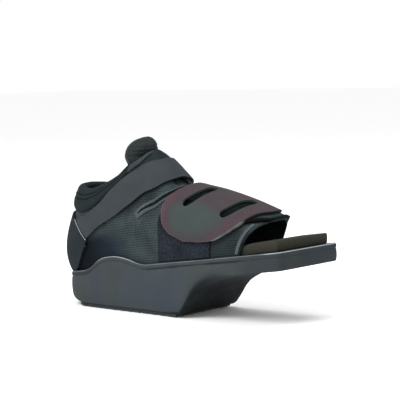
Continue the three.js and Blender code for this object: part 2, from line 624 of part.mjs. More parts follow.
// Edges of the straps and overlays as rows of [s, v]
const ANKLE_TOP = [[1.48, 0.66], [1.8, 0.69], [2.29, 0.742], [2.92, 0.812], [3.5, 0.868], [4.13, 0.905],
  [4.71, 0.9], [5.3, 0.87], [5.92, 0.84], [6.42, 0.895], [6.66, 1]];
const ANKLE_LOW = [[2.31, 0.433], [2.5, 0.477], [2.81, 0.522], [3.28, 0.562], [3.85, 0.581], [4.55, 0.582],
  [5.3, 0.564], [6.2, 0.57], [7.07, 0.668], [7.8, 0.82], [8.17, 1]];
const withMirror = (edge) => [...edge, ...edge.slice(0, -1).reverse().map(([s, v]) => [s, 2 - v])];

function ankleStrap() {
  const lift = (t) => STRAP_LIFT * Math.sin(Math.PI * clamp((t - 0.22) / 0.56, 0, 1)) ** 2;
  const off = (t) => WALL + 2 * GAP + lift(t);
  return lateral(ribbon(withMirror(ANKLE_TOP), withMirror(ANKLE_LOW), 2, 4, off, STRAP));
}

function heelStrap() {
  // From the seam with the ankle strap down to the rim, around the back of the heel.
  const top = [[2.3, 0.41], [2.05, 0.488], [1.76, 0.572], [1.45, 0.638], [1, 0.675], [0.5, 0.69], [0, 0.695]];
  const low = [[2.2, 0.36], [2.04, 0.26], [1.92, 0.085], [1.5, 0.08], [1, 0.08], [0.5, 0.085], [0, 0.085]];
  const both = (e) => [...e, ...e.slice(0, -1).reverse().map(([s, v]) => [-s, v])];
  return lateral(ribbon(both(low), both(top), 2, 4, () => WALL + 2 * GAP, STRAP));
}

const STRAP_REAR = [[9.5, 0.2], [9.05, 0.238], [8.5, 0.278], [7.95, 0.35], [7.79, 0.45], [7.98, 0.58],
  [8.46, 0.71], [8.88, 0.88], [9.1, 1.08], [9.05, 1.3], [9, 1.5], [8.95, 1.7], [8.9, 1.92]];
const STRAP_FRONT = [[9.65, 0.198], [10.1, 0.195], [10.6, 0.205], [11, 0.235], [11.34, 0.34], [11.53, 0.47],
  [11.6, 0.6], [11.58, 0.79], [11.6, 1.03], [11.46, 1.28], [11.28, 1.5], [11.16, 1.7], [11.1, 1.92]];

function vampStrap() {
  const off = (t, c, s, v) => lerp(OVER, WALL + GAP, clamp((v - 1.72) / 0.14, 0, 1));
  const body = lateral(ribbon(STRAP_REAR, STRAP_FRONT, 2, 7, off, STRAP)).solid();
  const slot = (path) => {
    const half = (t) => SLOT_HALF * Math.sqrt(Math.max(0.12, 1 - (2 * t - 1) ** 8));
    return lateral(strip(path, 9, half, half, OVER - STRAP, 3 * STRAP)).solid();
  };
  return body
    .subtract(slot([[9.2, 0.575], [9.49, 0.68], [9.74, 0.83], [9.9, 0.98]]))
    .subtract(slot([[10.84, 0.53], [11.01, 0.64], [11.1, 0.81], [11.15, 1.06]]));
}

function medialFlap() {
  const rear = [[9, 0.7], [9, 0.85], [9, 1], [9, 1.2], [9, 1.4], [9.1, 1.65]];
  const front = [[11.46, 0.5], [11.66, 0.625], [11.83, 0.76], [11.97, 0.93], [11.84, 1.25], [11.5, 1.6]];
  return lateral(ribbon(rear, front, 3, 6, () => WALL + 1.7 * GAP, FLAP));
}

function loopPanel() {
  const rear = [[7, 0.035], [7, 0.2], [7.02, 0.34], [7.5, 0.44], [8.2, 0.52]];
  const front = [[10.7, 0.035], [10.68, 0.2], [10.62, 0.34], [10.5, 0.45], [10.4, 0.54]];
  return lateral(ribbon(rear, front, 2, 5, () => WALL + GAP, LOOP));
}

/** Bound edge around the slit: down one arm, round the tip and up the other. */
function slitBinding(side) {
  const band = [[5.3, 0.4385], ...SLIT.slice(0, -1)];
  const half = (more) => (t) => slitHalf(t) + more;
  const [wide, narrow] = [half(BINDING.slit), half(BINDING.clear)];
  const bound = side(strip(band, 10, wide, wide, WALL + 1.4 * GAP, BINDING.thick)).solid();
  return bound.subtract(side(strip(SLIT, 10, narrow, narrow, WALL / 2, 2 * WALL)).solid());
}

/** Bound edge of the toe opening, from the sole up to the flap. */
function toeBinding(side, end) {
  const back = side === medial ? slant : () => 0;
  const path = [0.055, end / 3, (2 * end) / 3, end].map((v) => [TOE_EDGE - 0.09 - back(v), v]);
  const half = () => BINDING.toeHalf;
  return side(strip(path, 10, half, half, WALL + GAP, BINDING.thick));
}

const shoe = new THREE.Group();
shoe.name = 'post_operative_shoe';
shoe.add(
  meshOf('outsole', outsole(), 0x34393b, 0.85),
  meshOf('midsole', midsole(), 0x464c50, 0.72),
  meshOf('insole', insole(), 0x3e4037, 0.95),
  meshOf('upper', upper(), 0x282e32, 0.9),
  meshOf('collar_pad', collarPad(), 0x2a3230, 0.95),
  meshOf('tongue', tongue(), 0x30383c, 0.92),
  meshOf('medial_flap', medialFlap(), 0x1f3436, 0.9),
  meshOf('loop_panel', loopPanel(), 0x222833, 0.98),
  meshOf('vamp_strap', vampStrap(), 0x4e5456, 0.8),
  meshOf('ankle_strap', ankleStrap(), 0x464c52, 0.82),
  meshOf('heel_strap', heelStrap(), 0x3c454d, 0.84),
  meshOf('slit_binding_lateral', slitBinding(lateral), 0x50575b, 0.86),
  meshOf('slit_binding_medial', slitBinding(medial), 0x4d5458, 0.86),
  meshOf('toe_binding_lateral', toeBinding(lateral, 0.44), 0x3c4246, 0.86),
  meshOf('toe_binding_medial', toeBinding(medial, 0.29), 0x3a4044, 0.86),
);

export default shoe;
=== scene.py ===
"""Post operative shoe: the looks of a right wedge shoe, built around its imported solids.

Sizes are in millimetres counted from the back of the heel, +X to the toe, +Y to the inner side
and +Z up from the floor. A mesh is moved and scaled to the frame's metres when it is made.
"""

import logging
import math
from dataclasses import dataclass
from enum import Enum
from typing import Callable, Sequence

import bpy
import numpy as np
from mathutils import Matrix, Vector

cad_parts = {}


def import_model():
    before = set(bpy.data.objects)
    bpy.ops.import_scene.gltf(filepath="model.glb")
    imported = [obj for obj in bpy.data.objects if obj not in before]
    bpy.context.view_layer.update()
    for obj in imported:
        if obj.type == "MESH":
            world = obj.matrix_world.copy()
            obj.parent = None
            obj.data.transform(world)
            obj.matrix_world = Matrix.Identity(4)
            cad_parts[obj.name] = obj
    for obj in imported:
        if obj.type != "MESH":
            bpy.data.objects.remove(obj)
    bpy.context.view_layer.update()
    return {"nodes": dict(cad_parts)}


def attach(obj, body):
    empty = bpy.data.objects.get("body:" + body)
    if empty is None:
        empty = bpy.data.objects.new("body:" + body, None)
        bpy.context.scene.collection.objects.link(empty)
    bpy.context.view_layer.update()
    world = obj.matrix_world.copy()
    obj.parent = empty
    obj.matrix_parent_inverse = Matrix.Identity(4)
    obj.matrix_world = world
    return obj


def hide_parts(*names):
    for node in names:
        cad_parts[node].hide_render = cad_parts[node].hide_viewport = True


log = logging.getLogger("shoe")

MM = 0.001
ORIGIN = np.array([88.0, 0.0, 0.0])
BEVEL_FROM = math.radians(50.0)
FOOT_MIDDLE = np.array([110.0, 0.0, 70.0])
FACES_ASKED = 200

Array = np.ndarray
Colour = tuple[float, float, float]
Piece = bpy.types.Object
Spots = Sequence[tuple[float, float]]
Place = Callable[[Array, Array], Array]
Rule = Callable[[Array, Array, Array, Array], Array]


@dataclass(frozen=True)
class Sizes:
    """The shoe's own sizes, as its solids have them."""

    length: float = 291.5
    toe_half: float = 47.0
    rim_height: float = 47.2
    rim_at: float = 118.0
    wedge: float = 0.134
    block_front: float = 168.0
    scoop_length: float = 72.0
    scoop_rise: float = 45.6
    plate: float = 17.2
    plate_at: float = 262.0
    wing_rise: float = 11.3
    heel_round: float = 13.0
    edge_round: float = 1.4
    round_fade: float = 34.0
    recess: float = 2.0
    recess_end: float = 254.0
    recess_fade: float = 12.0
    insole: float = 10.0
    tread: float = 3.0
    ball_half: float = 40.6
    instep: float = 107.5
    wall: float = 2.0
    gap: float = 0.3
    strap: float = 2.3
    over: float = 4.9
    flap: float = 1.8
    loop: float = 1.4
    binding: float = 0.9


SIZES = Sizes()


def lerp(a: float | Array, b: float | Array, t: float | Array) -> float | Array:
    """Value between a and b at the share t."""
    return a + (b - a) * t


def ramp(x: float | Array, start: float, end: float) -> float | Array:
    """Share of the way from start to end, kept between 0 and 1."""
    return np.clip((x - start) / (end - start), 0.0, 1.0)


def soft(x: float | Array, start: float, end: float) -> float | Array:
    """Share of the way from start to end with a gentle start and end."""
    t = ramp(x, start, end)
    return t * t * (3.0 - 2.0 * t)


def between(x: Array, rise: float, risen: float, fall: float, fallen: float) -> Array:
    """One between two places, with a gentle rise before and a gentle fall after them."""
    return soft(x, rise, risen) * (1 - soft(x, fall, fallen))


def unit(vectors: Array) -> Array:
    """Vectors at length one."""
    length = np.linalg.norm(vectors, axis=-1, keepdims=True)
    return vectors / np.where(length == 0.0, 1.0, length)


def bell(x: Array, middle: float, width: float) -> Array:
    """One at the middle, and less the further x is from it."""
    return np.exp(-(((x - middle) / width) ** 2))


def cubic(a: Array, b: Array, c: Array, d: Array, t: Array) -> Array:
    """Smooth value at the share t from b to c, where a comes before them and d after."""
    return 0.5 * (
        2 * b + (c - a) * t + (2 * a - 5 * b + 4 * c - d) * t**2 + (3 * b - a - 3 * c + d) * t**3
    )


def along(rows: Sequence[Sequence[float]] | Array, q: Array, before: Array | None = None) -> Array:
    """Smooth values through rows of equal length.

    Args:
        rows: The rows, which q counts from 0.
        q: Places along the rows.
        before: The row ahead of the first one, where the curve doesn't simply end.

    Returns:
        One row of values for each place.
    """
    table = np.asarray(rows, dtype=float)
    q = np.asarray(q, dtype=float)
    count = len(table)
    i = np.clip(np.floor(q).astype(int), 0, count - 2)
    t = (q - i)[..., None]
    first = 2 * table[0] - table[1] if before is None else before
    padded = np.vstack([first, table, 2 * table[-1] - table[-2]])
    return cubic(*(padded[i + k] for k in range(4)), t)


def through(rows: Sequence[Sequence[float]], x: Array) -> Array:
    """Smooth value at x through rows of x and value that never overshoots them.

    Args:
        rows: Pairs of x and value, x rising.
        x: Where the value is wanted.

    Returns:
        The values.
    """
    table = np.asarray(rows, dtype=float)
    x0, y0 = table[:, 0], table[:, 1]
    step = np.diff(y0) / np.diff(x0)
    slope = np.zeros(len(table))
    slope[0], slope[-1] = step[0], step[-1]
    for k in range(1, len(table) - 1):
        if step[k - 1] * step[k] > 0:
            slope[k] = (y0[k + 1] - y0[k - 1]) / (x0[k + 1] - x0[k - 1])
    x = np.clip(np.asarray(x, dtype=float), x0[0], x0[-1])
    i = np.clip(np.searchsorted(x0, x, side="right") - 1, 0, len(table) - 2)
    h = x0[i + 1] - x0[i]
    u = (x - x0[i]) / h
    return (
        y0[i] * (1 + 2 * u) * (1 - u) ** 2
        + h * slope[i] * u * (1 - u) ** 2
        + y0[i + 1] * u * u * (3 - 2 * u)
        - h * slope[i + 1] * u * u * (1 - u)
    )


def mirrored(points: Array) -> Array:
    """Points on the other side of the shoe."""
    return points * np.array([1.0, -1.0, 1.0])


# Shader maths


def joined(operation: str, turned: bool = False) -> Callable[..., "Value"]:
    """A method that joins a value with another one in a Math node."""

    def method(self: "Value", other: "Value | float" = 0.0) -> "Value":
        pair = (other, self) if turned else (self, other)
        made = self.shader.node("ShaderNodeMath", {"operation": operation}, dict(enumerate(pair)))
        return made["Value"]

    return method


class Value:
    """A number that changes over a surface, written with Python's own operators."""

    __add__ = __radd__ = joined("ADD")
    __sub__ = joined("SUBTRACT")
    __rsub__ = joined("SUBTRACT", turned=True)
    __mul__ = __rmul__ = joined("MULTIPLY")
    sine = joined("SINE")

    def __init__(self, shader: "Shader", socket: bpy.types.NodeSocket) -> None:
        """Wraps a socket of the shader's nodes."""
        self.shader = shader
        self.socket = socket

    def step(self, start: float, end: float) -> "Value":
        """Share of the way from start to end, kept between 0 and 1."""
        out = self.shader.node(
            "ShaderNodeMapRange",
            {"clamp": True},
            {"Value": self, "From Min": start, "From Max": end, "To Min": 0.0, "To Max": 1.0},
        )
        return out["Result"]


class Shader:
    """The nodes of one material."""

    def __init__(self, name: str) -> None:
        """Starts an empty material with its output."""
        self.material = bpy.data.materials.new(name)
        self.material.use_nodes = True
        self.tree = self.material.node_tree
        self.tree.nodes.clear()

    def node(self, kind: str, settings: dict, inputs: dict) -> dict[str, "Value"]:
        """Adds one node.

        Args:
            kind: The node's type.
            settings: Its own settings.
            inputs: Numbers, colours or values for its sockets, by name or place.

        Returns:
            Its outputs by name.
        """
        made = self.tree.nodes.new(kind)
        for key, setting in settings.items():
            setattr(made, key, setting)
        for key, value in inputs.items():
            socket = made.inputs[key]
            if isinstance(value, Value):
                self.tree.links.new(value.socket, socket)
            else:
                socket.default_value = value
        return {out.name: Value(self, out) for out in made.outputs}

    def noise(self, place: Value, scale: float, detail: float = 3.0, rough: float = 0.5) -> Value:
        """Soft noise between about 0.2 and 0.8 at a scale per metre or per millimetre of place."""
        inputs = {"Vector": place, "Scale": scale, "Detail": detail, "Roughness": rough}
        return self.node("ShaderNodeTexNoise", {}, inputs)["Fac"]

    def place(self) -> Value:
        """The place in the piece's own space, in metres."""
        return self.node("ShaderNodeTexCoord", {}, {})["Object"]

    def blend(self, share: Value | float, low: Colour | Value, high: Colour | Value) -> Value:
        """Colour between low and high."""
        low, high = (c if isinstance(c, Value) else (*c, 1.0) for c in (low, high))
        self.node("ShaderNodeMix", {"data_type": "RGBA"}, {0: share, 6: low, 7: high})
        return Value(self, self.tree.nodes[-1].outputs[2])

    def tones(self, share: Value, colour: Colour, dark: float, light: float) -> Value:
        """Colour between a darker and a lighter share of itself."""
        return self.blend(share, shade(colour, dark), shade(colour, light))

    def attribute(self, name: str) -> Value:
        """A number kept on the mesh's points."""
        return self.node("ShaderNodeAttribute", {"attribute_name": name}, {})["Fac"]

    def surface(
        self, colour: Value, roughness: Value, height: Value, depth_mm: float, fixed: dict
    ) -> bpy.types.Material:
        """Closes the material with one Principled surface.

        Args:
            colour: Base colour.
            roughness: Roughness.
            height: Relief between 0 and 1.
            depth_mm: What 1 of the relief measures.
            fixed: Numbers for the surface's other sockets.

        Returns:
            The material.
        """
        bump = self.node(
            "ShaderNodeBump", {}, {"Height": height, "Strength": 1.0, "Distance": depth_mm * MM}
        )
        inputs = {"Base Color": colour, "Roughness": roughness, "Normal": bump["Normal"], **fixed}
        shader = self.node("ShaderNodeBsdfPrincipled", {}, inputs)
        self.node("ShaderNodeOutputMaterial", {}, {"Surface": shader["BSDF"]})
        return self.material


class Weave(Enum):
    """How a cloth is made."""

    SMOOTH = "smooth"
    MESH = "mesh"
    RIBBED = "ribbed"
    TWILL = "twill"
    FUZZ = "fuzz"


def linear(red: int, green: int, blue: int) -> Colour:
    """Colour as light from the 0 to 255 values that an eye reads."""
    parts = [c / 255.0 for c in (red, green, blue)]
    r, g, b = (c / 12.92 if c <= 0.04045 else ((c + 0.055) / 1.055) ** 2.4 for c in parts)
    return (r, g, b)


def shade(colour: Colour, share: float) -> Colour:
    """Colour made darker or lighter."""
    r, g, b = (min(1.0, c * share) for c in colour)
    return (r, g, b)


# Shares of the clean colour that painted shade darkens to and that a painted highlight pales to.
PAINTED_SHADE_SHARE = 0.12
HIGHLIGHT_AND_WEAR_SHARE = 7.0


def with_painted_light(nodes: Shader, colour: Value, clean: Colour, smear: Value) -> Value:
    """Colour darkened where shade is painted in and along dark cut edges, and paled where a
    highlight is painted in, partly edge wear.

    Args:
        nodes: The material's nodes.
        colour: Colour so far.
        clean: The finish's own colour.
        smear: Noise that breaks up both.

    Returns:
        The colour.
    """
    painted_shade_and_dark_edge = (nodes.attribute("painted_shade_and_dark_edge") * (smear * 0.8 + 0.6)).step(0.0, 1.0)
    highlight_and_wear = (nodes.attribute("highlight_and_wear") * (smear * 1.6 + 0.2)).step(0.1, 0.9)
    colour = nodes.blend(painted_shade_and_dark_edge, colour, shade(clean, PAINTED_SHADE_SHARE))
    return nodes.blend(highlight_and_wear, colour, shade(clean, HIGHLIGHT_AND_WEAR_SHARE))


@dataclass(frozen=True)
class Foam:
    """Closed-cell foam or rubber: matte, faintly speckled, with cooler patches if it has any."""

    name: str
    colour: Colour
    roughness: float
    speckle: float
    grain_mm: float
    relief_mm: float
    gloss: float = 0.06
    cool: Colour | None = None
    tones: tuple[float, float] = (0.62, 1.38)
    cloud_scale: float = 16.0
    smear_scale: float = 60.0
    patch_scale: float = 22.0
    cell_share: float = 0.7

    def material(self) -> bpy.types.Material:
        """The finished material."""
        nodes = Shader(self.name)
        place = nodes.place()
        cloud = nodes.noise(place, self.cloud_scale, 4.0)
        grain = nodes.noise(place, 1.0 / (self.grain_mm * MM), 2.0)
        cell_scale = 1.0 / (self.cell_share * self.grain_mm * MM)
        voronoi = nodes.node("ShaderNodeTexVoronoi", {}, {"Vector": place, "Scale": cell_scale})
        smear = nodes.noise(place, self.smear_scale, 6.0, 0.65)
        tone = (cloud * 0.5 + smear * 0.25 + grain * self.speckle).step(0.2, 0.62 + self.speckle)
        colour = nodes.tones(tone, self.colour, *self.tones)
        if self.cool is not None:
            patch = nodes.noise(place, self.patch_scale, 3.0).step(0.44, 0.62)
            colour = nodes.blend(patch, colour, nodes.tones(tone, self.cool, *self.tones))
        colour = with_painted_light(nodes, colour, self.colour, smear)
        rough = self.roughness + (smear - 0.5) * 0.2
        height = grain * 0.65 + voronoi["Distance"] * 0.35
        fixed = {"Specular IOR Level": self.gloss}
        return nodes.surface(colour, rough, height, self.relief_mm, fixed)


@dataclass(frozen=True)
class Cloth:
    """Cloth on a piece's own UV map, which counts millimetres along it and across it."""

    name: str
    colour: Colour
    weave: Weave
    pitch_mm: float = 1.2
    roughness: float = 0.85
    relief_mm: float = 0.25
    dark: float = 0.7
    light: float = 1.25
    edge: Colour | None = None
    second: Colour | None = None
    sheen: float = 0.0
    gloss: float = 0.05
    speck: Colour | None = None
    cloud_scale: float = 0.05
    wander_scale: float = 0.35
    speck_scale: float = 0.42
    thread_scale: float = 1.1

    def _pattern(self, nodes: Shader, u: Value, v: Value, place: Value) -> Value:
        """Relief of the weave between 0 and 1.

        Args:
            nodes: The material's nodes.
            u: Millimetres along the piece.
            v: Millimetres across it.
            place: Both as one place.

        Returns:
            The relief.
        """

        def wave(way: Value, rate: float = 1.0) -> Value:
            return (way * (2.0 * math.pi / self.pitch_mm * rate)).sine() * 0.5 + 0.5

        if self.weave is Weave.MESH:
            return 1.0 - (wave(u) * wave(v)).step(0.12, 0.6)
        if self.weave is Weave.RIBBED:
            return wave(v) * 0.75 + wave(u, 0.8) * 0.25
        if self.weave is Weave.TWILL:
            return wave(u + v) * 0.6 + wave(u - v) * 0.4
        if self.weave is Weave.FUZZ:
            return nodes.noise(place, 1.0 / self.pitch_mm, 5.0, 0.75).step(0.42, 0.62)
        return nodes.noise(place, 1.4 / self.pitch_mm, 3.0, 0.6)

    def material(self) -> bpy.types.Material:
        """The finished material."""
        nodes = Shader(self.name)
        place = nodes.node("ShaderNodeUVMap", {"uv_map": "cloth"}, {})["UV"]
        parts = nodes.node("ShaderNodeSeparateXYZ", {}, {"Vector": place})
        u, v = parts["X"], parts["Y"]
        wander = nodes.noise(place, self.wander_scale, 2.0) - 0.5
        relief = self._pattern(nodes, u + wander * 0.5, v + wander * 0.4, place)
        cloud = nodes.noise(place, self.cloud_scale, 4.0, 0.6)
        thread = nodes.noise(place, self.thread_scale, 3.0, 0.6)
        tone = (relief * 0.45 + (cloud - 0.5) * 1.1 + (thread - 0.5) * 0.5 + 0.3).step(0.0, 1.0)
        colour = nodes.tones(tone, self.colour, self.dark, self.light)
        if self.second is not None:
            zone = (nodes.attribute("zone") + (cloud - 0.5) * 0.6).step(0.1, 0.9)
            colour = nodes.blend(zone, colour, nodes.tones(tone, self.second, 0.85, 1.15))
            relief = relief * (1.0 - zone * 0.8) + thread * zone * 0.5
        if self.edge is not None:
            margin = (nodes.attribute("margin") + (cloud - 0.5) * 0.9).step(0.1, 0.8)
            colour = nodes.blend(margin * 0.95, colour, nodes.tones(tone, self.edge, 0.8, 1.2))
        if self.speck is not None:
            dots = nodes.noise(place, self.speck_scale, 3.0, 0.7).step(0.5, 0.66)
            colour = nodes.blend(dots * nodes.attribute("speck"), colour, self.speck)
        colour = with_painted_light(nodes, colour, self.colour, cloud)
        rough = self.roughness + (thread - 0.5) * 0.15
        fixed = {
            "Specular IOR Level": self.gloss,
            "Sheen Weight": self.sheen,
            "Sheen Roughness": 0.5,
        }
        return nodes.surface(colour, rough, relief * 0.8 + thread * 0.2, self.relief_mm, fixed)


@dataclass(frozen=True)
class Plain:
    """An even finish for the floor and the threads."""

    name: str
    colour: Colour
    roughness: float

    def material(self) -> bpy.types.Material:
        """The finished material."""
        nodes = Shader(self.name)
        tone = nodes.noise(nodes.place(), 240.0, 2.0)
        colour = nodes.tones(tone, self.colour, 0.94, 1.04)
        return nodes.surface(colour, tone * 0.1 + self.roughness, tone, 0.02, {})


Finish = Foam | Cloth | Plain

# Foam: roughness, speckle, grain and relief. Cloth: weave, pitch, roughness, relief, and the
# shares of its colour at its darkest and at its lightest.
SOLE_FOAM = Foam("sole foam", linear(57, 62, 63), 0.7, 0.5, 0.9, 0.12, cool=linear(54, 60, 66))
TREAD_RUBBER = Foam("tread rubber", linear(52, 57, 59), 0.75, 0.3, 1.2, 0.08)
FOOTBED = Foam("footbed foam", linear(52, 52, 46), 0.95, 1.0, 1.3, 0.3, gloss=0.03)
UPPER_MESH = Cloth(
    "upper mesh", linear(42, 49, 51), Weave.MESH, 2.4, 0.85, 0.5, 0.08, 2.1,
    second=linear(24, 31, 40),
)
COLLAR_CLOTH = Cloth("collar cloth", linear(29, 35, 36), Weave.SMOOTH, 1.0, 0.8, 0.25, 0.5, 1.6)
TONGUE_CLOTH = Cloth("tongue cloth", linear(38, 42, 43), Weave.RIBBED, 2.2, 0.9, 0.35, 0.35, 1.8)
FLAP_CLOTH = Cloth("flap cloth", linear(38, 50, 54), Weave.RIBBED, 1.6, 0.88, 0.2, 0.7, 1.3)
LOOP_CLOTH = Cloth(
    "loop cloth", linear(20, 23, 29), Weave.FUZZ, 2.3, 0.98, 0.9, 0.1, 5.0, sheen=0.02
)
STRAP_CLOTH = Cloth(
    "strap cloth", linear(55, 63, 62), Weave.SMOOTH, 1.0, 0.75, 0.12, 0.85, 1.15,
    edge=linear(59, 53, 56), speck=linear(112, 46, 70),
)
ANKLE_CLOTH = Cloth("ankle cloth", linear(51, 56, 59), Weave.TWILL, 1.1, 0.8, 0.12, 0.8, 1.2)
# The ankle strap's cloth made darker: painted shade on the heel panel, which faces away from the
# light.
SHADED_HEEL_CLOTH = Cloth("heel cloth", linear(33, 39, 42), Weave.TWILL, 1.1, 0.85, 0.12, 0.75, 1.25)
BINDING = Cloth("binding tape", linear(70, 76, 79), Weave.RIBBED, 1.3, 0.8, 0.2, 0.6, 1.35)
COLLAR_TAPE = Cloth("collar tape", linear(49, 56, 58), Weave.RIBBED, 1.3, 0.8, 0.2, 0.6, 1.35)
# Near black: the flap's dark binding, with the shadow gap under its edge painted into it.
DARK_BINDING_AND_SHADOW = Cloth("dark tape", linear(8, 9, 10), Weave.RIBBED, 1.3, 0.88, 0.2, 0.75, 1.3)
THREAD = Plain("thread", linear(150, 158, 162), 0.6)
DARK_THREAD = Plain("dark thread", linear(40, 44, 47), 0.8)
FLOOR = Plain("floor", (0.97, 0.97, 0.97), 0.9)


# Mesh making


def select_only(piece: Piece) -> None:
    """Selects one piece alone and makes it the active one."""
    bpy.ops.object.select_all(action="DESELECT")
    piece.select_set(True)
    bpy.context.view_layer.objects.active = piece


def edited(piece: Piece, *steps: Callable[[], object]) -> None:
    """Runs edit mode steps on all of a piece's mesh."""
    select_only(piece)
    bpy.ops.object.mode_set(mode="EDIT")
    bpy.ops.mesh.select_mode(type="VERT")
    bpy.ops.mesh.select_all(action="SELECT")
    for step in steps:
        step()
    bpy.ops.object.mode_set(mode="OBJECT")


def welded(piece: Piece, distance_mm: float = 0.02, turned: bool = True) -> None:
    """Merges a piece's doubled points and, where asked, turns its faces outwards."""
    steps = [lambda: bpy.ops.mesh.remove_doubles(threshold=distance_mm * MM)]
    if turned:
        steps.append(lambda: bpy.ops.mesh.normals_make_consistent(inside=False))
    edited(piece, *steps)


def modified(piece: Piece, kind: str, **settings: object) -> None:
    """Adds a modifier and applies it."""
    select_only(piece)
    modifier = piece.modifiers.new(kind.lower(), kind)
    for key, value in settings.items():
        setattr(modifier, key, value)
    bpy.ops.object.modifier_apply(modifier=modifier.name)


def vectors(points: Sequence, key: str) -> Array:
    """Rows of three numbers read from a mesh's points."""
    flat = np.empty(len(points) * 3)
    points.foreach_get(key, flat)
    return flat.reshape(-1, 3)


def points_of(piece: Piece) -> Array:
    """A piece's points in millimetres."""
    return vectors(piece.data.vertices, "co") / MM + ORIGIN


def set_points(piece: Piece, points: Array) -> None:
    """Moves a piece's points, given in millimetres."""
    piece.data.vertices.foreach_set("co", ((points - ORIGIN) * MM).ravel())
    piece.data.update()


def number(piece: Piece, name: str, values: Array) -> None:
    """Keeps one number for each point of a piece."""
    attribute = piece.data.attributes.new(name, "FLOAT", "POINT")
    attribute.data.foreach_set("value", np.asarray(values, dtype=float).ravel())


def lay_cloth(piece: Piece, places: Array) -> None:
    """Gives a piece one UV map, named cloth, from a place in millimetres for each point."""
    corners = np.empty(len(piece.data.loops), dtype=int)
    piece.data.loops.foreach_get("vertex_index", corners)
    while piece.data.uv_layers:
        piece.data.uv_layers.remove(piece.data.uv_layers[0])
    layer = piece.data.uv_layers.new(name="cloth")
    layer.data.foreach_set("uv", places[corners].ravel())


def bent_grid(
    name: str, columns: int, rows: int, place: Place, numbers: dict[str, Place] | None = None
) -> Piece:
    """A flat grid that is bent into a sheet.

    Args:
        name: The piece's name.
        columns: Faces along the sheet.
        rows: Faces across it.
        place: Gives points in millimetres for the shares along and across.
        numbers: Numbers kept on the points, by name, from the same shares.

    Returns:
        The piece, with a UV map in millimetres named cloth.
    """
    bpy.ops.object.select_all(action="DESELECT")
    bpy.ops.mesh.primitive_grid_add(x_subdivisions=columns, y_subdivisions=rows, size=2)
    piece = bpy.context.object
    piece.name = piece.data.name = name
    u, v = ((vectors(piece.data.vertices, "co")[:, :2] + 1.0) / 2.0).T
    points = place(u, v)
    set_points(piece, points)
    for key, rule in (numbers or {}).items():
        number(piece, key, rule(u, v))
    order = np.lexsort((u.round(5), v.round(5)))
    lattice = points[order].reshape(rows + 1, columns + 1, 3)
    run = np.cumsum(np.linalg.norm(np.diff(lattice, axis=1), axis=2), axis=1)
    rise = np.cumsum(np.linalg.norm(np.diff(lattice, axis=0), axis=2), axis=0)
    run = np.hstack([np.zeros((rows + 1, 1)), run])
    rise = np.vstack([np.zeros((1, columns + 1)), rise])
    run -= run[:, columns // 2 : columns // 2 + 1]
    cloth = np.empty((len(points), 2))
    cloth[order, 0] = run.ravel()
    cloth[order, 1] = rise.ravel()
    lay_cloth(piece, cloth)
    return piece


def finish_piece(
    piece: Piece,
    finish: Finish,
    replaces: Sequence[str] = (),
    sharp: float = 50.0,
) -> Piece:
    """Gives a piece its finish and its body.

    Args:
        piece: The piece.
        finish: Its finish.
        replaces: Solids that it stands for.
        sharp: Edges sharper than this many degrees stay sharp.

    Returns:
        The piece.
    """
    select_only(piece)
    bpy.ops.object.shade_smooth_by_angle(angle=math.radians(sharp))
    piece.data.materials.clear()
    piece.data.materials.append(material_of(finish))
    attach(piece, "root")
    if replaces:
        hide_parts(*replaces)
    log.info("%s: %d faces", piece.name, len(piece.data.polygons))
    return piece


MATERIALS: dict[str, bpy.types.Material] = {}


def material_of(finish: Finish) -> bpy.types.Material:
    """The material of a finish, made once."""
    if finish.name not in MATERIALS:
        MATERIALS[finish.name] = finish.material()
    return MATERIALS[finish.name]


def tube_path(name: str, path: Array, radius: float, sides: int) -> Piece:
    """A round cord along a path of points, open at its ends.

    Args:
        name: The piece's name.
        path: Points in millimetres.
        radius: Its radius.
        sides: Faces around it.

    Returns:
        The piece.
    """
    tangent = unit(np.gradient(path, axis=0))
    side = unit(np.cross(tangent, [0.0, 0.0, 1.0]) + 1e-9)
    lift = np.cross(side, tangent)
    count = len(path) - 1

    def place(u: Array, v: Array) -> Array:
        centre, a, b = (along(t, u * count) for t in (path, side, lift))
        turn = (2 * math.pi * v)[:, None]
        return centre + radius * (np.cos(turn) * unit(a) + np.sin(turn) * unit(b))

    piece = bent_grid(name, count, sides, place)
    welded(piece)
    return piece


@dataclass(frozen=True)
class Stitch:
    """Distance from one stitch to the next, and a stitch's length and thickness."""

    pitch: float
    length: float
    thick: float


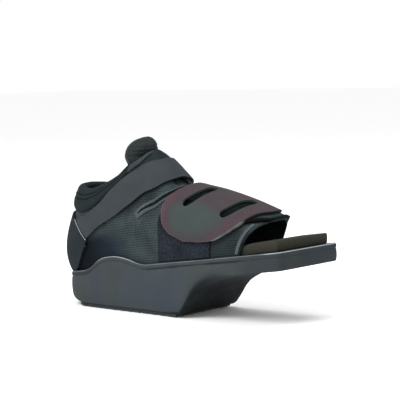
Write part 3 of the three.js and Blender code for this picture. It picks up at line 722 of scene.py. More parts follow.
def stitches(name: str, path: Array, normal: Array, stitch: Stitch) -> Piece:
    """A run of stitches: one rounded stitch, modelled once and laid along a path.

    Args:
        name: The piece's name.
        path: Points in millimetres.
        normal: Direction out of the cloth at each point.
        stitch: The sizes of a stitch.

    Returns:
        The piece.
    """
    bpy.ops.object.select_all(action="DESELECT")
    bpy.ops.mesh.primitive_uv_sphere_add(segments=6, ring_count=4, radius=1.0)
    model = bpy.context.object
    ball = vectors(model.data.vertices, "co")
    faces = [list(p.vertices) for p in model.data.polygons]
    bpy.data.objects.remove(model)
    steps = np.linalg.norm(np.diff(path, axis=0), axis=1)
    run = np.concatenate([[0.0], np.cumsum(steps)])
    count = max(2, int(run[-1] / stitch.pitch))
    at = (np.arange(count) + 0.5) * run[-1] / count

    def read(rows: Array, where: Array) -> Array:
        return np.stack([np.interp(where, run, rows[:, k]) for k in range(3)], axis=1)

    way = unit(read(path, at + 0.4) - read(path, at - 0.4))
    across = unit(np.cross(way, unit(read(normal, at))))
    out = np.cross(across, way)
    made = read(path, at)[:, None]
    sizes = (stitch.length, stitch.thick, stitch.thick)
    for k, (axis, size) in enumerate(zip((way, across, out), sizes)):
        made = made + ball[None, :, k : k + 1] * axis[:, None] * (size / 2)
    points = (made.reshape(-1, 3) - ORIGIN) * MM
    mesh = bpy.data.meshes.new(name)
    shifted = [[i + k * len(ball) for i in f] for k in range(count) for f in faces]
    mesh.from_pydata(points.tolist(), [], shifted)
    mesh.update()
    return placed(name, mesh)


def cut_by(piece: Piece, cutter: Piece) -> None:
    """Takes one closed piece out of another."""
    modified(piece, "BOOLEAN", operation="DIFFERENCE", object=cutter, solver="EXACT")
    bpy.data.objects.remove(cutter)


def rounded(piece: Piece, width: float, segments: int = 2) -> None:
    """Rounds a piece's sharp edges."""
    modified(
        piece, "BEVEL", width=width * MM, segments=segments, limit_method="ANGLE",
        angle_limit=BEVEL_FROM,
    )


def thickened(piece: Piece, thick: float, away: float = 1.0) -> None:
    """Turns a sheet on the last outwards and makes it solid, away from the foot or towards it."""
    outward(piece)
    modified(piece, "SOLIDIFY", thickness=thick * MM, offset=away, use_even_offset=False)


# The last: the space inside the upper


@dataclass(frozen=True)
class Crease:
    """A soft trough, or a ridge where depth is negative, between two places on the last.

    Places are the section counted from the heel and the share of the way up it. Depth and width
    are in millimetres.
    """

    start: tuple[float, float]
    end: tuple[float, float]
    depth: float
    width: float
    bow: float = 0.0


@dataclass(frozen=True)
class Last:
    """The foot's space, a row for each section from the back of the heel to the toes.

    A section stands on the deck at x with a half width and runs over two handles to its top.
    Lengths along X are shares of the sole's length, those along Y of the ball's half width and
    those along Z of the instep's height. Each row has the foot's x and y, then x, y and z of
    the first and the second handle, then x, y and z of the top.
    """

    rows: tuple[tuple[float, ...], ...] = (
        (0.023, 0, -0.079, 0, 0.242, -0.045, 0, -0.27, 0.057, 0, 0.825),
        (0.053, 0.522, -0.048, 0.222, 0.242, -0.024, 0, -0.26, 0.084, 0.47, 0.805),
        (0.127, 0.754, -0.007, 0.1, 0.223, -0.014, 0.222, -0.27, 0.148, 0.69, 0.755),
        (0.213, 0.783, 0, 0.086, 0.223, -0.007, 0.234, -0.279, 0.216, 0.714, 0.777),
        (0.295, 0.813, 0.007, 0.099, 0.26, 0, 0.296, -0.298, 0.274, 0.653, 0.83),
        (0.364, 0.837, 0.014, 0.135, 0.31, 0.014, 0.345, -0.27, 0.322, 0.44, 0.943),
        (0.425, 0.855, 0.021, 0.172, 0.353, 0.017, 0.616, -0.102, 0.364, 0, 1),
        (0.473, 0.867, 0.021, 0.148, 0.353, 0.014, 0.64, -0.074, 0.422, 0, 0.862),
        (0.518, 0.892, 0.014, 0.148, 0.353, 0.009, 0.665, -0.047, 0.47, 0, 0.715),
        (0.569, 0.924, 0.007, 0.123, 0.335, 0.007, 0.665, -0.019, 0.542, 0, 0.627),
        (0.652, 0.968, 0.007, 0.086, 0.307, 0.007, 0.69, -0.009, 0.642, 0, 0.546),
        (0.738, 0.993, 0.01, 0.074, 0.26, 0.007, 0.714, 0, 0.751, 0, 0.431),
        (0.844, 1, 0.021, 0.049, 0.195, 0.007, 0.739, 0, 0.885, 0, 0.256),
    )
    closed: float = 6.0
    across: tuple[int, ...] = (1, 3, 6, 9)

    def _table(self) -> Array:
        """The rows in millimetres."""
        z = SIZES
        scale = [z.length, z.ball_half] + [z.length, z.ball_half, z.instep] * 3
        return np.array(self.rows) * np.array(scale)

    def point(self, s: Array, v: Array) -> Array:
        """Points of the last.

        Args:
            s: Sections from the heel, negative on the inner side.
            v: 0 to 1 up the outer side and 1 to 2 down the inner one.

        Returns:
            Points in millimetres.
        """
        s, v = np.broadcast_arrays(np.asarray(s, float), np.asarray(v, float))
        far = (s < 0) != (v > 1)
        w = np.where(v > 1, 2 - v, v)[..., None]
        q = np.abs(s)
        table = self._table()
        flip = np.ones(table.shape[1])
        flip[list(self.across)] = -1
        row = along(table, q, before=table[1] * flip)
        foot_z = deck(row[..., 0]) + SIZES.gap
        top_z = deck(row[..., 0]) + row[..., 10]
        top_y = np.where(q >= self.closed, 0.0, np.maximum(0.0, row[..., 9]))
        foot = np.stack([row[..., 0], row[..., 1], foot_z], axis=-1)
        top = np.stack([row[..., 8], top_y, top_z], axis=-1)
        one, two = foot + row[..., 2:5], top + row[..., 5:8]
        m = 1 - w
        p = m**3 * foot + 3 * m**2 * w * one + 3 * m * w * w * two + w**3 * top
        return np.where(far[..., None], p, mirrored(p))

    def frame(self, s: Array, v: Array) -> tuple[Array, Array, Array, Array]:
        """Points with their unit steps along s and v and the direction out of the foot."""
        s, v = np.broadcast_arrays(np.asarray(s, float), np.asarray(v, float))
        h = 1e-3
        last = len(self.rows) - 1 + 1e-6
        s1, s0 = np.minimum(s + h, max(last, float(s.max()))), s - h
        ds = (self.point(s1, v) - self.point(s0, v)) / (s1 - s0)[..., None]
        ridge = (np.abs(s) < self.closed) & (np.abs(v - 1) < 2 * h)
        v1, v0 = np.where(ridge, np.minimum(v, 1), v + h), v - h
        dv = (self.point(s, v1) - self.point(s, v0)) / (v1 - v0)[..., None]
        low = ramp(np.where(v > 1, 2 - v, v), 0.0, 0.1)
        n = unit(np.cross(ds, dv))
        n[..., 2] *= low
        return self.point(s, v), ds, dv, unit(n)

    def skin(self, s: Array, v: Array, off: Array | float) -> Array:
        """Points at a distance off the last."""
        p, _, _, n = self.frame(s, v)
        return p + n * np.broadcast_to(np.asarray(off, float), p.shape[:-1])[..., None]

    def relief(self, s: Array, v: Array, creases: Sequence[Crease]) -> Array:
        """How far creases lift the surface, in millimetres."""
        p = self.point(s, v)
        lift = np.zeros(p.shape[:-1])
        t = np.linspace(0.0, 1.0, 17)
        for crease in creases:
            ls = lerp(crease.start[0], crease.end[0], t)
            lv = lerp(crease.start[1], crease.end[1], t) + crease.bow * np.sin(math.pi * t)
            line = self.point(ls, lv)
            apart = np.linalg.norm(p[..., None, :] - line, axis=-1)
            fade = np.sin(math.pi * np.clip(t, 0.06, 0.94)) ** 0.5
            lift -= crease.depth * np.max(bell(apart, 0.0, crease.width) * fade, axis=-1)
        return lift


def slope(x: Array | float) -> Array | float:
    """Height of the sole's rim."""
    return SIZES.rim_height + SIZES.wedge * (x - SIZES.rim_at)


def deck(x: Array | float) -> Array | float:
    """Height of the recess that the upper and the insole stand on."""
    z = SIZES
    return slope(x) - z.recess * np.clip((z.recess_end - x) / z.recess_fade, 0.0, 1.0)


LAST = Last()


@dataclass(frozen=True)
class Ribbon:
    """A flat band on the last between a rear and a front edge of (section, share) places."""

    rear: Spots
    front: Spots

    def at(self, t: Array, c: Array) -> tuple[Array, Array]:
        """Places for the shares along the band and across it."""
        t = np.asarray(t)
        s0, v0 = np.moveaxis(along(self.rear, t * (len(self.rear) - 1)), -1, 0)
        s1, v1 = np.moveaxis(along(self.front, t * (len(self.front) - 1)), -1, 0)
        return lerp(s0, s1, c), lerp(v0, v1, c)

    def sheet(
        self,
        name: str,
        columns: int,
        rows: int,
        off: Rule | float,
        thick: float,
        round_mm: float,
        creases: Sequence[Crease] = (),
        marks: dict[str, Rule] | None = None,
        even: int = 0,
    ) -> Piece:
        """The band as a closed sheet with rounded edges.

        Args:
            name: The piece's name.
            columns: Faces along it.
            rows: Faces across it.
            off: Distance off the last, or its rule from the shares and the places.
            thick: Its thickness.
            round_mm: Rounding of its edges.
            creases: Its folds.
            marks: Numbers kept on the points, by name, from the shares and the places.
            even: How many times its points are evened out.

        Returns:
            The piece.
        """

        def place(t: Array, c: Array) -> Array:
            s, v = self.at(t, c)
            base = off(t, c, s, v) if callable(off) else off
            return LAST.skin(s, v, base + LAST.relief(s, v, creases))

        def numbered(rule: Rule) -> Place:
            return lambda t, c: np.clip(rule(t, c, *self.at(t, c)), 0.0, 1.0)

        numbers = {key: numbered(rule) for key, rule in (marks or {}).items()}
        piece = bent_grid(name, columns, rows, place, numbers)
        if even:
            modified(piece, "SMOOTH", factor=0.5, iterations=even)
        thickened(piece, thick)
        if round_mm > 0:
            rounded(piece, round_mm)
        return piece


def outward(piece: Piece) -> None:
    """Turns an open sheet on the last so that its faces point away from the foot."""
    faces = list(piece.data.polygons)
    total = 0.0
    for face in faces[:: max(1, len(faces) // FACES_ASKED)]:
        away = np.array(face.center) / MM + ORIGIN - FOOT_MIDDLE
        away[0] *= 0.2
        total += float(np.dot(away, np.array(face.normal)))
    if total < 0:
        edited(piece, bpy.ops.mesh.flip_normals)


def strip_cutter(path: Spots, half: Callable[[Array], Array], low: float, high: float) -> Piece:
    """A closed strip across a sheet, to cut a slot with.

    Args:
        path: Places along the middle of the slot.
        half: Half width for the shares along it.
        low: Distance off the last where it starts.
        high: Distance off the last where it ends.

    Returns:
        The cutter.
    """

    def place(u: Array, v: Array) -> Array:
        s, w = strip_places(path, u, (2 * v - 1) * half(u))
        return LAST.skin(s, w, low)

    piece = bent_grid("slot cutter", 40, 2, place)
    thickened(piece, high - low)
    return piece


def strip_places(path: Spots, t: Array, away: Array) -> tuple[Array, Array]:
    """Places beside a path on the last.

    Args:
        path: Places along it.
        t: Shares along it.
        away: Distance to its left in millimetres.

    Returns:
        Sections and shares.
    """
    count = len(path) - 1
    t = np.asarray(t)
    here, ahead, behind = (
        along(path, q * count) for q in (t, np.clip(t + 0.01, 0, 1), np.clip(t - 0.01, 0, 1))
    )
    step = ahead - behind
    s, v = here[..., 0], here[..., 1]
    _, ds, dv, _ = LAST.frame(s, v)
    e, f, g = (ds * ds).sum(-1), (ds * dv).sum(-1), (dv * dv).sum(-1)
    ns = -(f * step[..., 0] + g * step[..., 1])
    nv = e * step[..., 0] + f * step[..., 1]
    k = away / np.sqrt(e * ns * ns + 2 * f * ns * nv + g * nv * nv)
    return s + ns * k, v + nv * k


def tape(
    name: str, path: Spots, faces: tuple[int, int], off: float, half: float, crown: float,
    thick: float, round_mm: float,
) -> Piece:
    """A narrow crowned tape along a path on the last.

    Args:
        name: The piece's name.
        path: Places along its middle.
        faces: Faces along it and across it.
        off: Distance off the last at its edges.
        half: Half its width.
        crown: How much higher its middle is.
        thick: Its thickness.
        round_mm: Rounding of its edges.

    Returns:
        The piece.
    """

    def place(u: Array, v: Array) -> Array:
        c = 2 * v - 1
        return LAST.skin(*strip_places(path, u, c * half), off + crown * (1 - c * c))

    piece = bent_grid(name, *faces, place)
    thickened(piece, thick)
    rounded(piece, round_mm)
    return piece


def seam(
    name: str, path: Spots, away: Callable[[Array], Array], off: float, stitch: Stitch,
    inner: bool, count: int, skipped: int = 0,
) -> Piece:
    """A row of stitches beside a path on the last.

    Args:
        name: The piece's name.
        path: Places along the path.
        away: Distance to the path's left for the shares along it.
        off: Distance off the last.
        stitch: The sizes of a stitch.
        inner: Whether it lies on the inner side.
        count: Points that the path is read at.
        skipped: Points at its start that stay free of stitches.

    Returns:
        The piece.
    """
    t = np.linspace(0.0, 1.0, count)
    s, w = strip_places(path, t, away(t))
    spots, out = LAST.skin(s, w, off)[skipped:], LAST.frame(s, w)[3][skipped:]
    if inner:
        spots, out = mirrored(spots), mirrored(out)
    return stitches(name, spots, out, stitch)


def placed(name: str, data: bpy.types.ID) -> Piece:
    """A new object of the scene."""
    made = bpy.data.objects.new(name, data)
    bpy.context.scene.collection.objects.link(made)
    return made


def copied(piece: Piece, name: str) -> Piece:
    """A copy of a piece with a mesh of its own."""
    twin = piece.copy()
    twin.data = piece.data.copy()
    twin.name = twin.data.name = name
    bpy.context.scene.collection.objects.link(twin)
    return twin


def mirror_copy(piece: Piece, name: str) -> Piece:
    """A copy of a piece for the inner side."""
    twin = copied(piece, name)
    twin.data.transform(Matrix.Diagonal((1.0, -1.0, 1.0, 1.0)))
    edited(twin, bpy.ops.mesh.flip_normals)
    return twin


# Sole


@dataclass
class Sole:
    """Foam wedge with its rim, scoop and recess, and the footbed in it."""

    outline: Spots = (
        (0, 0), (0.0045, 0.2), (0.017, 0.395), (0.04, 0.575), (0.072, 0.7), (0.112, 0.775),
        (0.155, 0.8), (0.2, 0.812), (0.26, 0.828), (0.33, 0.843), (0.41, 0.857), (0.48, 0.877),
        (0.54, 0.905), (0.56, 0.92), (0.58, 0.935), (0.607, 0.95), (0.631, 0.962), (0.659, 0.972),
        (0.686, 0.982), (0.724, 0.992), (0.776, 1), (0.828, 1), (0.88, 1), (0.925, 0.998),
        (0.957, 0.992), (0.977, 0.98), (0.989, 0.955), (0.9955, 0.915), (0.999, 0.85), (1, 0.72),
        (1, 0.4), (1, 0),
    )
    wing: Spots = (
        (0.137, 0), (0.165, 0.23), (0.199, 0.743), (0.24, 1), (0.288, 0.973), (0.343, 0.637),
        (0.384, 0.23), (0.419, 0),
    )
    scoop: Spots = (
        (-0.076, 0), (-0.035, 0.013), (0, 0.048), (0.111, 0.252), (0.208, 0.45), (0.319, 0.614),
        (0.431, 0.724), (0.583, 0.833), (0.792, 0.921), (1, 1),
    )
    lip: tuple[float, ...] = (1.8, 2.9, 1.5)
    lip_at: tuple[float, ...] = (110, 130, 240, SIZES.recess_end)
    bed_inset: tuple[float, ...] = (7.2, 6.6, 8.4)
    bed_at: tuple[float, ...] = (0, 60, 200, 260)
    side_steps: int = 4
    # Places along a face from the middle to its rim.
    caps: tuple[float, ...] = (0.0, 0.12, 0.25, 0.37, 0.5, 0.62, 0.75, 0.86, 0.95)
    spine_from: float = 38.0
    seam_below: float = 5.0
    corner_round: float = 3.0
    corner_at: tuple[float, float] = (146, 172)
    front_round: float = 5.0
    front_at: tuple[float, float] = (168, 190)
    round_end: tuple[float, float] = (205, 245)
    round_rise: float = 0.9
    side_out: float = 0.5
    seam_out: float = 0.2
    seam_deep: float = 1.1
    seam_faint: float = 0.3
    seam_shown: tuple[tuple[float, ...], ...] = ((120, 132, 160, 172), (202, 210, 242, 252))
    # Inset and drop of each ring: through the groove, and over the rim.
    grooves: Spots = ((0, 1.3), (0.4, 0.7), (1, 0.3), (1, -0.3), (0.4, -0.7), (0, -1.3))
    rim: Spots = ((-0.3, 2.4), (-0.1, 1.2), (0.35, 0.45), (0.9, 0.08), (1.3, 0.0))

    def _half(self) -> tuple[Array, Array, Array, Array]:
        """Half outline as x, y and the plan direction that leaves the sole."""
        z = SIZES
        table = np.array(self.outline) * np.array([z.length, z.toe_half])
        last = len(table) - 1
        q = np.linspace(0, last, last * self.side_steps + 1)
        x, y = along(table, q).T
        a, b = along(table, np.clip(q - 0.02, 0, last)), along(table, np.clip(q + 0.02, 0, last))
        n = unit(np.stack([a[:, 1] - b[:, 1], b[:, 0] - a[:, 0]], axis=1))
        n[0], n[-1] = (-1, 0), (1, 0)
        x, y = np.clip(x, 0, z.length), np.maximum(y, 0)
        return x, y, n[:, 0], n[:, 1]

    def _rings(self, name: str, rings: Sequence[tuple[Callable, Callable]]) -> Piece:
        """One closed body from rings of the outline, capped to its middle line.

        Args:
            name: The piece's name.
            rings: Pairs of inset(x) and height(outline x, own x).

        Returns:
            The piece.
        """
        x, y, nx, ny = self._half()
        half = len(x) - 1
        table = []
        for k, (inset, height) in enumerate(rings):
            away = inset(x)
            rx = np.clip(x - nx * away, 0, SIZES.length - np.maximum(away, 0))
            ry = np.clip(y - ny * away, 0, SIZES.toe_half - away)
            spine = np.clip(rx, self.spine_from, SIZES.length - self.spine_from)
            ring = [np.stack([rx, ry, height(x, rx)], axis=1)]
            for share in self.caps[::-1] if k in (0, len(rings) - 1) else ():
                own = lerp(spine, rx, share)
                ring.append(np.stack([own, ry * share, height(x, own)], axis=1))
            table += ring[::-1] if k == 0 else ring
        lattice = np.array([np.vstack([mirrored(r), r[-2::-1]]) for r in table])

        def place(u: Array, v: Array) -> Array:
            i = np.rint(v * (len(table) - 1)).astype(int)
            j = np.rint(u * 2 * half).astype(int)
            return lattice[i, j]

        piece = bent_grid(name, 2 * half, len(table) - 1, place)
        welded(piece, 0.01)
        return piece

    def _along(self, sizes: Sequence[float], x: Array, at: Sequence[float]) -> Array:
        """A width that changes between heel, middle and toe."""
        rear = lerp(sizes[0], sizes[1], ramp(x, at[0], at[1]))
        return lerp(rear, sizes[2], ramp(x, at[2], at[3]))

    def _top(self, x: Array) -> Array:
        """Height of the foam's upper edge, with the wings beside the heel."""
        wing = [(a * SIZES.length, b * SIZES.wing_rise) for a, b in self.wing]
        return slope(x) + through(wing, x)

    def _midsole(self) -> Piece:
        """The foam wedge."""
        z = SIZES
        scoop = [(z.block_front + a * z.scoop_length, b * z.scoop_rise) for a, b in self.scoop]
        scoop += [(x, slope(x) - z.plate) for x in (z.plate_at, z.length)]

        def base(x: Array) -> Array:
            block = np.clip((z.block_front + 2 - x) / 6, 0, 1)
            return through(scoop, x) + (z.tread + z.gap) * block

        def bottom(x: Array) -> Array:
            front = self.corner_round * soft(x, *self.corner_at)
            front = front + self.front_round * soft(x, *self.front_at)
            heel = lerp(z.heel_round, z.edge_round, ramp(x, 2, 2 + z.round_fade))
            return heel + front * (1 - soft(x, *self.round_end))

        def fixed(inset: float) -> Callable:
            return lambda x: np.full_like(x, inset)

        def down(drop: float) -> Callable:
            return lambda x, own: self._top(x) - drop

        def corner(share: float) -> tuple[Callable, Callable]:
            a = share * math.pi / 2
            return (
                lambda x: bottom(x) * (1 - math.sin(a)),
                lambda x, own: base(own) + bottom(x) * self.round_rise * (1 - math.cos(a)),
            )

        def side(share: float) -> tuple[Callable, Callable]:
            return fixed(-self.side_out), lambda x, own: lerp(
                base(own) + bottom(x) * self.round_rise, down(self.seam_below + 1.4)(x, own), share
            )

        def groove(share: float) -> Callable:
            def inset(x: Array) -> Array:
                shown = sum(between(x, *places) for places in self.seam_shown)
                deep = lerp(self.seam_faint, self.seam_deep, shown)
                return share * (self.seam_out + deep) - self.seam_out

            return inset

        def lip(more: float) -> Callable:
            return lambda x: self._along(self.lip, x, self.lip_at) + more

        rings = [corner(k) for k in (0, 0.2, 0.4, 0.6, 0.8, 1)] + [side(k) for k in (0.33, 0.66)]
        rings += [(groove(share), down(self.seam_below + drop)) for share, drop in self.grooves]
        rings += [(fixed(inset), down(drop)) for inset, drop in self.rim]
        rings += [(lip(-0.15), down(0.05)), (lip(0.1), down(0.5))]
        rings += [(lip(0.1), lambda x, own: deck(own))]
        return self._rings("midsole_foam", rings)

    def _footbed(self) -> Piece:
        """The footbed with soft rounded edges, a little wider below its upper edge."""
        z = SIZES
        edge = (
            (0.8, 0.0), (0.2, 0.3), (0.0, 0.9), (-0.15, 3.2), (-0.25, 5.5), (0.0, z.insole - 1.6),
            (0.25, z.insole - 0.8), (0.7, z.insole - 0.25), (1.4, z.insole), (3.2, z.insole),
        )
        rings = [
            (
                lambda x, a=away: self._along(self.bed_inset, x, self.bed_at) + a,
                lambda x, own, h=height: deck(own) + z.gap + h,
            )
            for away, height in edge
        ]
        return self._rings("footbed", rings)

    def _age(self, piece: Piece) -> None:
        """Paints shade into the foam's scoop, over the toe plate and just under the heel's rim, and
        a highlight, partly edge wear, along the rim's top edge, by place along the sole.
        """
        x, _, up = points_of(piece).T
        lean = -vectors(piece.data.vertices, "normal")[:, 2]
        below = self._top(x) - up
        # Painted shade: in the scoop where the foam faces down, over the toe plate and its front,
        # and in a line just under the rim at the heel.
        scoop_shade = lerp(0.25, 0.8, soft(x, 150, 172)) * lerp(1.0, 0.5, soft(x, 186, 230))
        toe = 0.27 * soft(x, 222, 262) + 0.06 * soft(x, 286, 291)
        heel = 0.5 * bell(below, 3.2, 1.6) * (1 - soft(x, 40, 60))
        painted_shade_and_dark_edge = np.maximum.reduce([soft(lean, 0.0, 0.55) * scoop_shade, toe, heel])
        number(piece, "painted_shade_and_dark_edge", np.clip(painted_shade_and_dark_edge, 0, 1))
        # Painted highlight along the rim's top edge, most on the heel's wings and the toe's front,
        # partly edge wear.
        highlight_weight = 0.4 + 0.5 * between(x, 48, 62, 100, 118) + 0.6 * soft(x, 266, 280)
        number(piece, "highlight_and_wear", np.clip(bell(below, 0.45, 0.3) * highlight_weight, 0, 1))

    def build(self, nodes: dict[str, Piece]) -> None:
        """Makes and dresses the sole's pieces."""
        foam = self._midsole()
        self._age(foam)
        finish_piece(foam, SOLE_FOAM, ["midsole"], 40.0)
        bed = finish_piece(self._footbed(), FOOTBED, ["insole"], 40.0)
        tread = nodes["outsole"]
        tread.data.materials.clear()
        tread.data.materials.append(material_of(TREAD_RUBBER))


# Upper

SLIT = (
    (5.46, 0.438), (6.2, 0.442), (7.01, 0.523), (7.85, 0.655), (8.4, 0.79), (8.64, 0.9),
    (8.72, 1.0),
)
SLIT_BAND = ((5.3, 0.4385), *SLIT[:-1])
SLIT_STITCH = Stitch(2.6, 1.7, 0.5)
TOE_EDGE = 11.86
TOE_SLANT = 0.55
SLANT_FROM = 10.3


def slant(v: Array) -> Array:
    """How much sooner the upper ends over the inner toes, in sections."""
    return TOE_SLANT * (1 - np.asarray(v)) ** 1.2


def slit_half(t: Array) -> Array:
    """Half width of the slit at a share of its way."""
    return lerp(0.5, 1.5, np.clip(np.asarray(t) * 4, 0, 1))


@dataclass
class Upper:
    """The hollow upper with its slits, creases and bound edges."""

    throat_start: float = 5.95
    throat_end: float = 8.75
    throat_round: float = 0.7
    throat_share: float = 0.14
    creases: tuple[Crease, ...] = (
        Crease((2.6, 0.42), (5.2, 0.33), 0.8, 3.0, 0.03),
        Crease((2.5, 0.30), (4.6, 0.22), 0.6, 3.0, 0.02),
        Crease((5.3, 0.42), (4.2, 0.22), 0.7, 3.2),
        Crease((5.6, 0.40), (6.2, 0.18), 0.6, 3.0),
        Crease((3.2, 0.36), (4.8, 0.28), -0.5, 3.4),
        Crease((10.4, 0.12), (11.3, 0.3), 0.5, 2.6),
        Crease((6.3, 0.36), (7.0, 0.3), 0.4, 2.5),
    )
    # Each painted shade: how dark, the sections where it comes and goes, and the shares up the
    # wall. They darken the low heel up to the heel panel's edge, the low toes and the wall under
    # the toe strap, and the wall under the ankle strap.
    painted_shades: tuple[tuple, ...] = (
        (0.8, (-2, -1, 2.2, 3.5), (-2, -1, 0.36, 0.5)),
        (0.45, (9.6, 10.4, 20, 21), (-2, -1, 0.4, 0.5)),
        (0.9, (8.4, 8.9, 11.3, 11.6), (0.4, 0.52, 3, 4)),
        (0.5, (4.0, 5.0, 6.4, 7.4), (0.47, 0.56, 3, 4)),
    )
    binding_foot: float = 0.055
    binding_in: float = 0.09
    binding_half: float = 1.6
    binding_more: float = 2.7
    stitched_at: float = 2.1

    def _top(self, s: Array) -> Array:
        """Share of the section where the upper ends at the throat."""
        q = np.abs(s)
        rise = ramp(q, self.throat_start, self.throat_start + self.throat_round)
        fall = ramp(-q, -self.throat_end, self.throat_round - self.throat_end)
        cut = self.throat_share * np.sin(rise * math.pi / 2) * np.sin(fall * math.pi / 2)
        inside = (q > self.throat_start) & (q < self.throat_end)
        return np.where(inside, 1 - cut, 1.0)

    def _wall(self) -> Piece:
        """The wall of the upper, one sheet around the foot."""

        def place(u: Array, v: Array) -> Array:
            s = lerp(-TOE_EDGE, TOE_EDGE, u)
            w = v * self._top(s)
            lift = LAST.relief(np.abs(s), w, self.creases) * ramp(w, 0.05, 0.15)
            back = slant(w) * ramp(-s, SLANT_FROM, TOE_EDGE)
            return LAST.skin(s + back, w, SIZES.wall + lift)

        def zone(u: Array, v: Array) -> Array:
            s = np.abs(lerp(-TOE_EDGE, TOE_EDGE, u))
            heel = 1 - soft(s + 1.6 * (v - 0.25), 3.0, 5.4)
            return heel * (1 - soft(v, 0.34, 0.56))

        # Painted shade under the straps and beside the heel panel.
        def painted_shade_and_dark_edge(u: Array, v: Array) -> Array:
            s = np.abs(lerp(-TOE_EDGE, TOE_EDGE, u))
            dark = [k * between(s, *part) * between(v, *up) for k, part, up in self.painted_shades]
            return np.maximum.reduce(dark)

        piece = bent_grid("upper_wall", 300, 44, place, {"zone": zone, "painted_shade_and_dark_edge": painted_shade_and_dark_edge})
        welded(piece, 0.02, turned=False)
        thickened(piece, SIZES.wall, -1.0)
        cutter = strip_cutter([*SLIT, (8.74, 1.12)], slit_half, -SIZES.wall, 2 * SIZES.wall)
        for each in (cutter, mirror_copy(cutter, "slit cutter inner")):
            cut_by(piece, each)
        return piece

    def _slit_binding(self) -> Piece:
        """Tape around the slit: one band that is cut open along it."""

        def place(u: Array, v: Array) -> Array:
            c = 2 * v - 1
            end = np.sqrt(np.maximum(0.02, 1 - (1 - np.minimum(1, u / 0.07)) ** 2))
            s, w = strip_places(SLIT_BAND, u, c * (slit_half(u) + self.binding_more) * end)
            roll = 0.5 * bell(np.abs(c), 0.42, 0.16)
            return LAST.skin(s, w, SIZES.wall + SIZES.gap + roll)

        piece = bent_grid("slit_binding_outer", 110, 24, place)
        thickened(piece, SIZES.binding)
        cut_by(
            piece,
            strip_cutter(SLIT, lambda t: slit_half(t) + 0.4, SIZES.wall / 2, 3 * SIZES.wall),
        )
        rounded(piece, 0.22)
        return piece

    def _toe_binding(self, name: str, top: float, inner: bool = False) -> Piece:
        """Tape along the edge of the toe opening.

        Args:
            name: The piece's name.
            top: Share of the way up where it ends.
            inner: Whether it lies on the inner side.

        Returns:
            The piece.
        """
        heights = (self.binding_foot, top / 3, 2 * top / 3, top)
        path = [
            (TOE_EDGE - self.binding_in - (slant(v) if inner else 0.0), v) for v in heights
        ]
        z = SIZES
        off = z.wall + z.gap
        bound = tape(name, path, (90, 6), off, self.binding_half, 0.25, z.binding, 0.25)
        if not inner:
            return bound
        bound.name = "toe tape"
        twin = mirror_copy(bound, name)
        bpy.data.objects.remove(bound)
        return twin

    def build(self) -> None:
        """Makes and dresses the upper and its bound edges."""
        finish_piece(self._wall(), UPPER_MESH, ["upper"], 40.0)
        outer = self._slit_binding()
        inner = mirror_copy(outer, "slit_binding_inner")
        finish_piece(outer, BINDING, ["slit_binding_lateral"])
        finish_piece(inner, BINDING, ["slit_binding_medial"])
        outer = self._toe_binding("toe_binding_outer", 0.62)
        finish_piece(outer, BINDING, ["toe_binding_lateral"])
        inner = self._toe_binding("toe_binding_inner", 0.29, inner=True)
        finish_piece(inner, BINDING, ["toe_binding_medial"])
        off = SIZES.wall + SIZES.gap + SIZES.binding + 0.05
        for side in ("outer", "inner"):
            for level, sign in (("low", -1.0), ("high", 1.0)):
                run = seam(
                    f"slit_stitches_{side}_{level}", SLIT_BAND,
                    lambda t, k=sign: k * (slit_half(t) + self.stitched_at), off, SLIT_STITCH,
                    inner=side == "inner", count=160, skipped=12,
                )
                finish_piece(run, DARK_THREAD)


# Collar and tongue


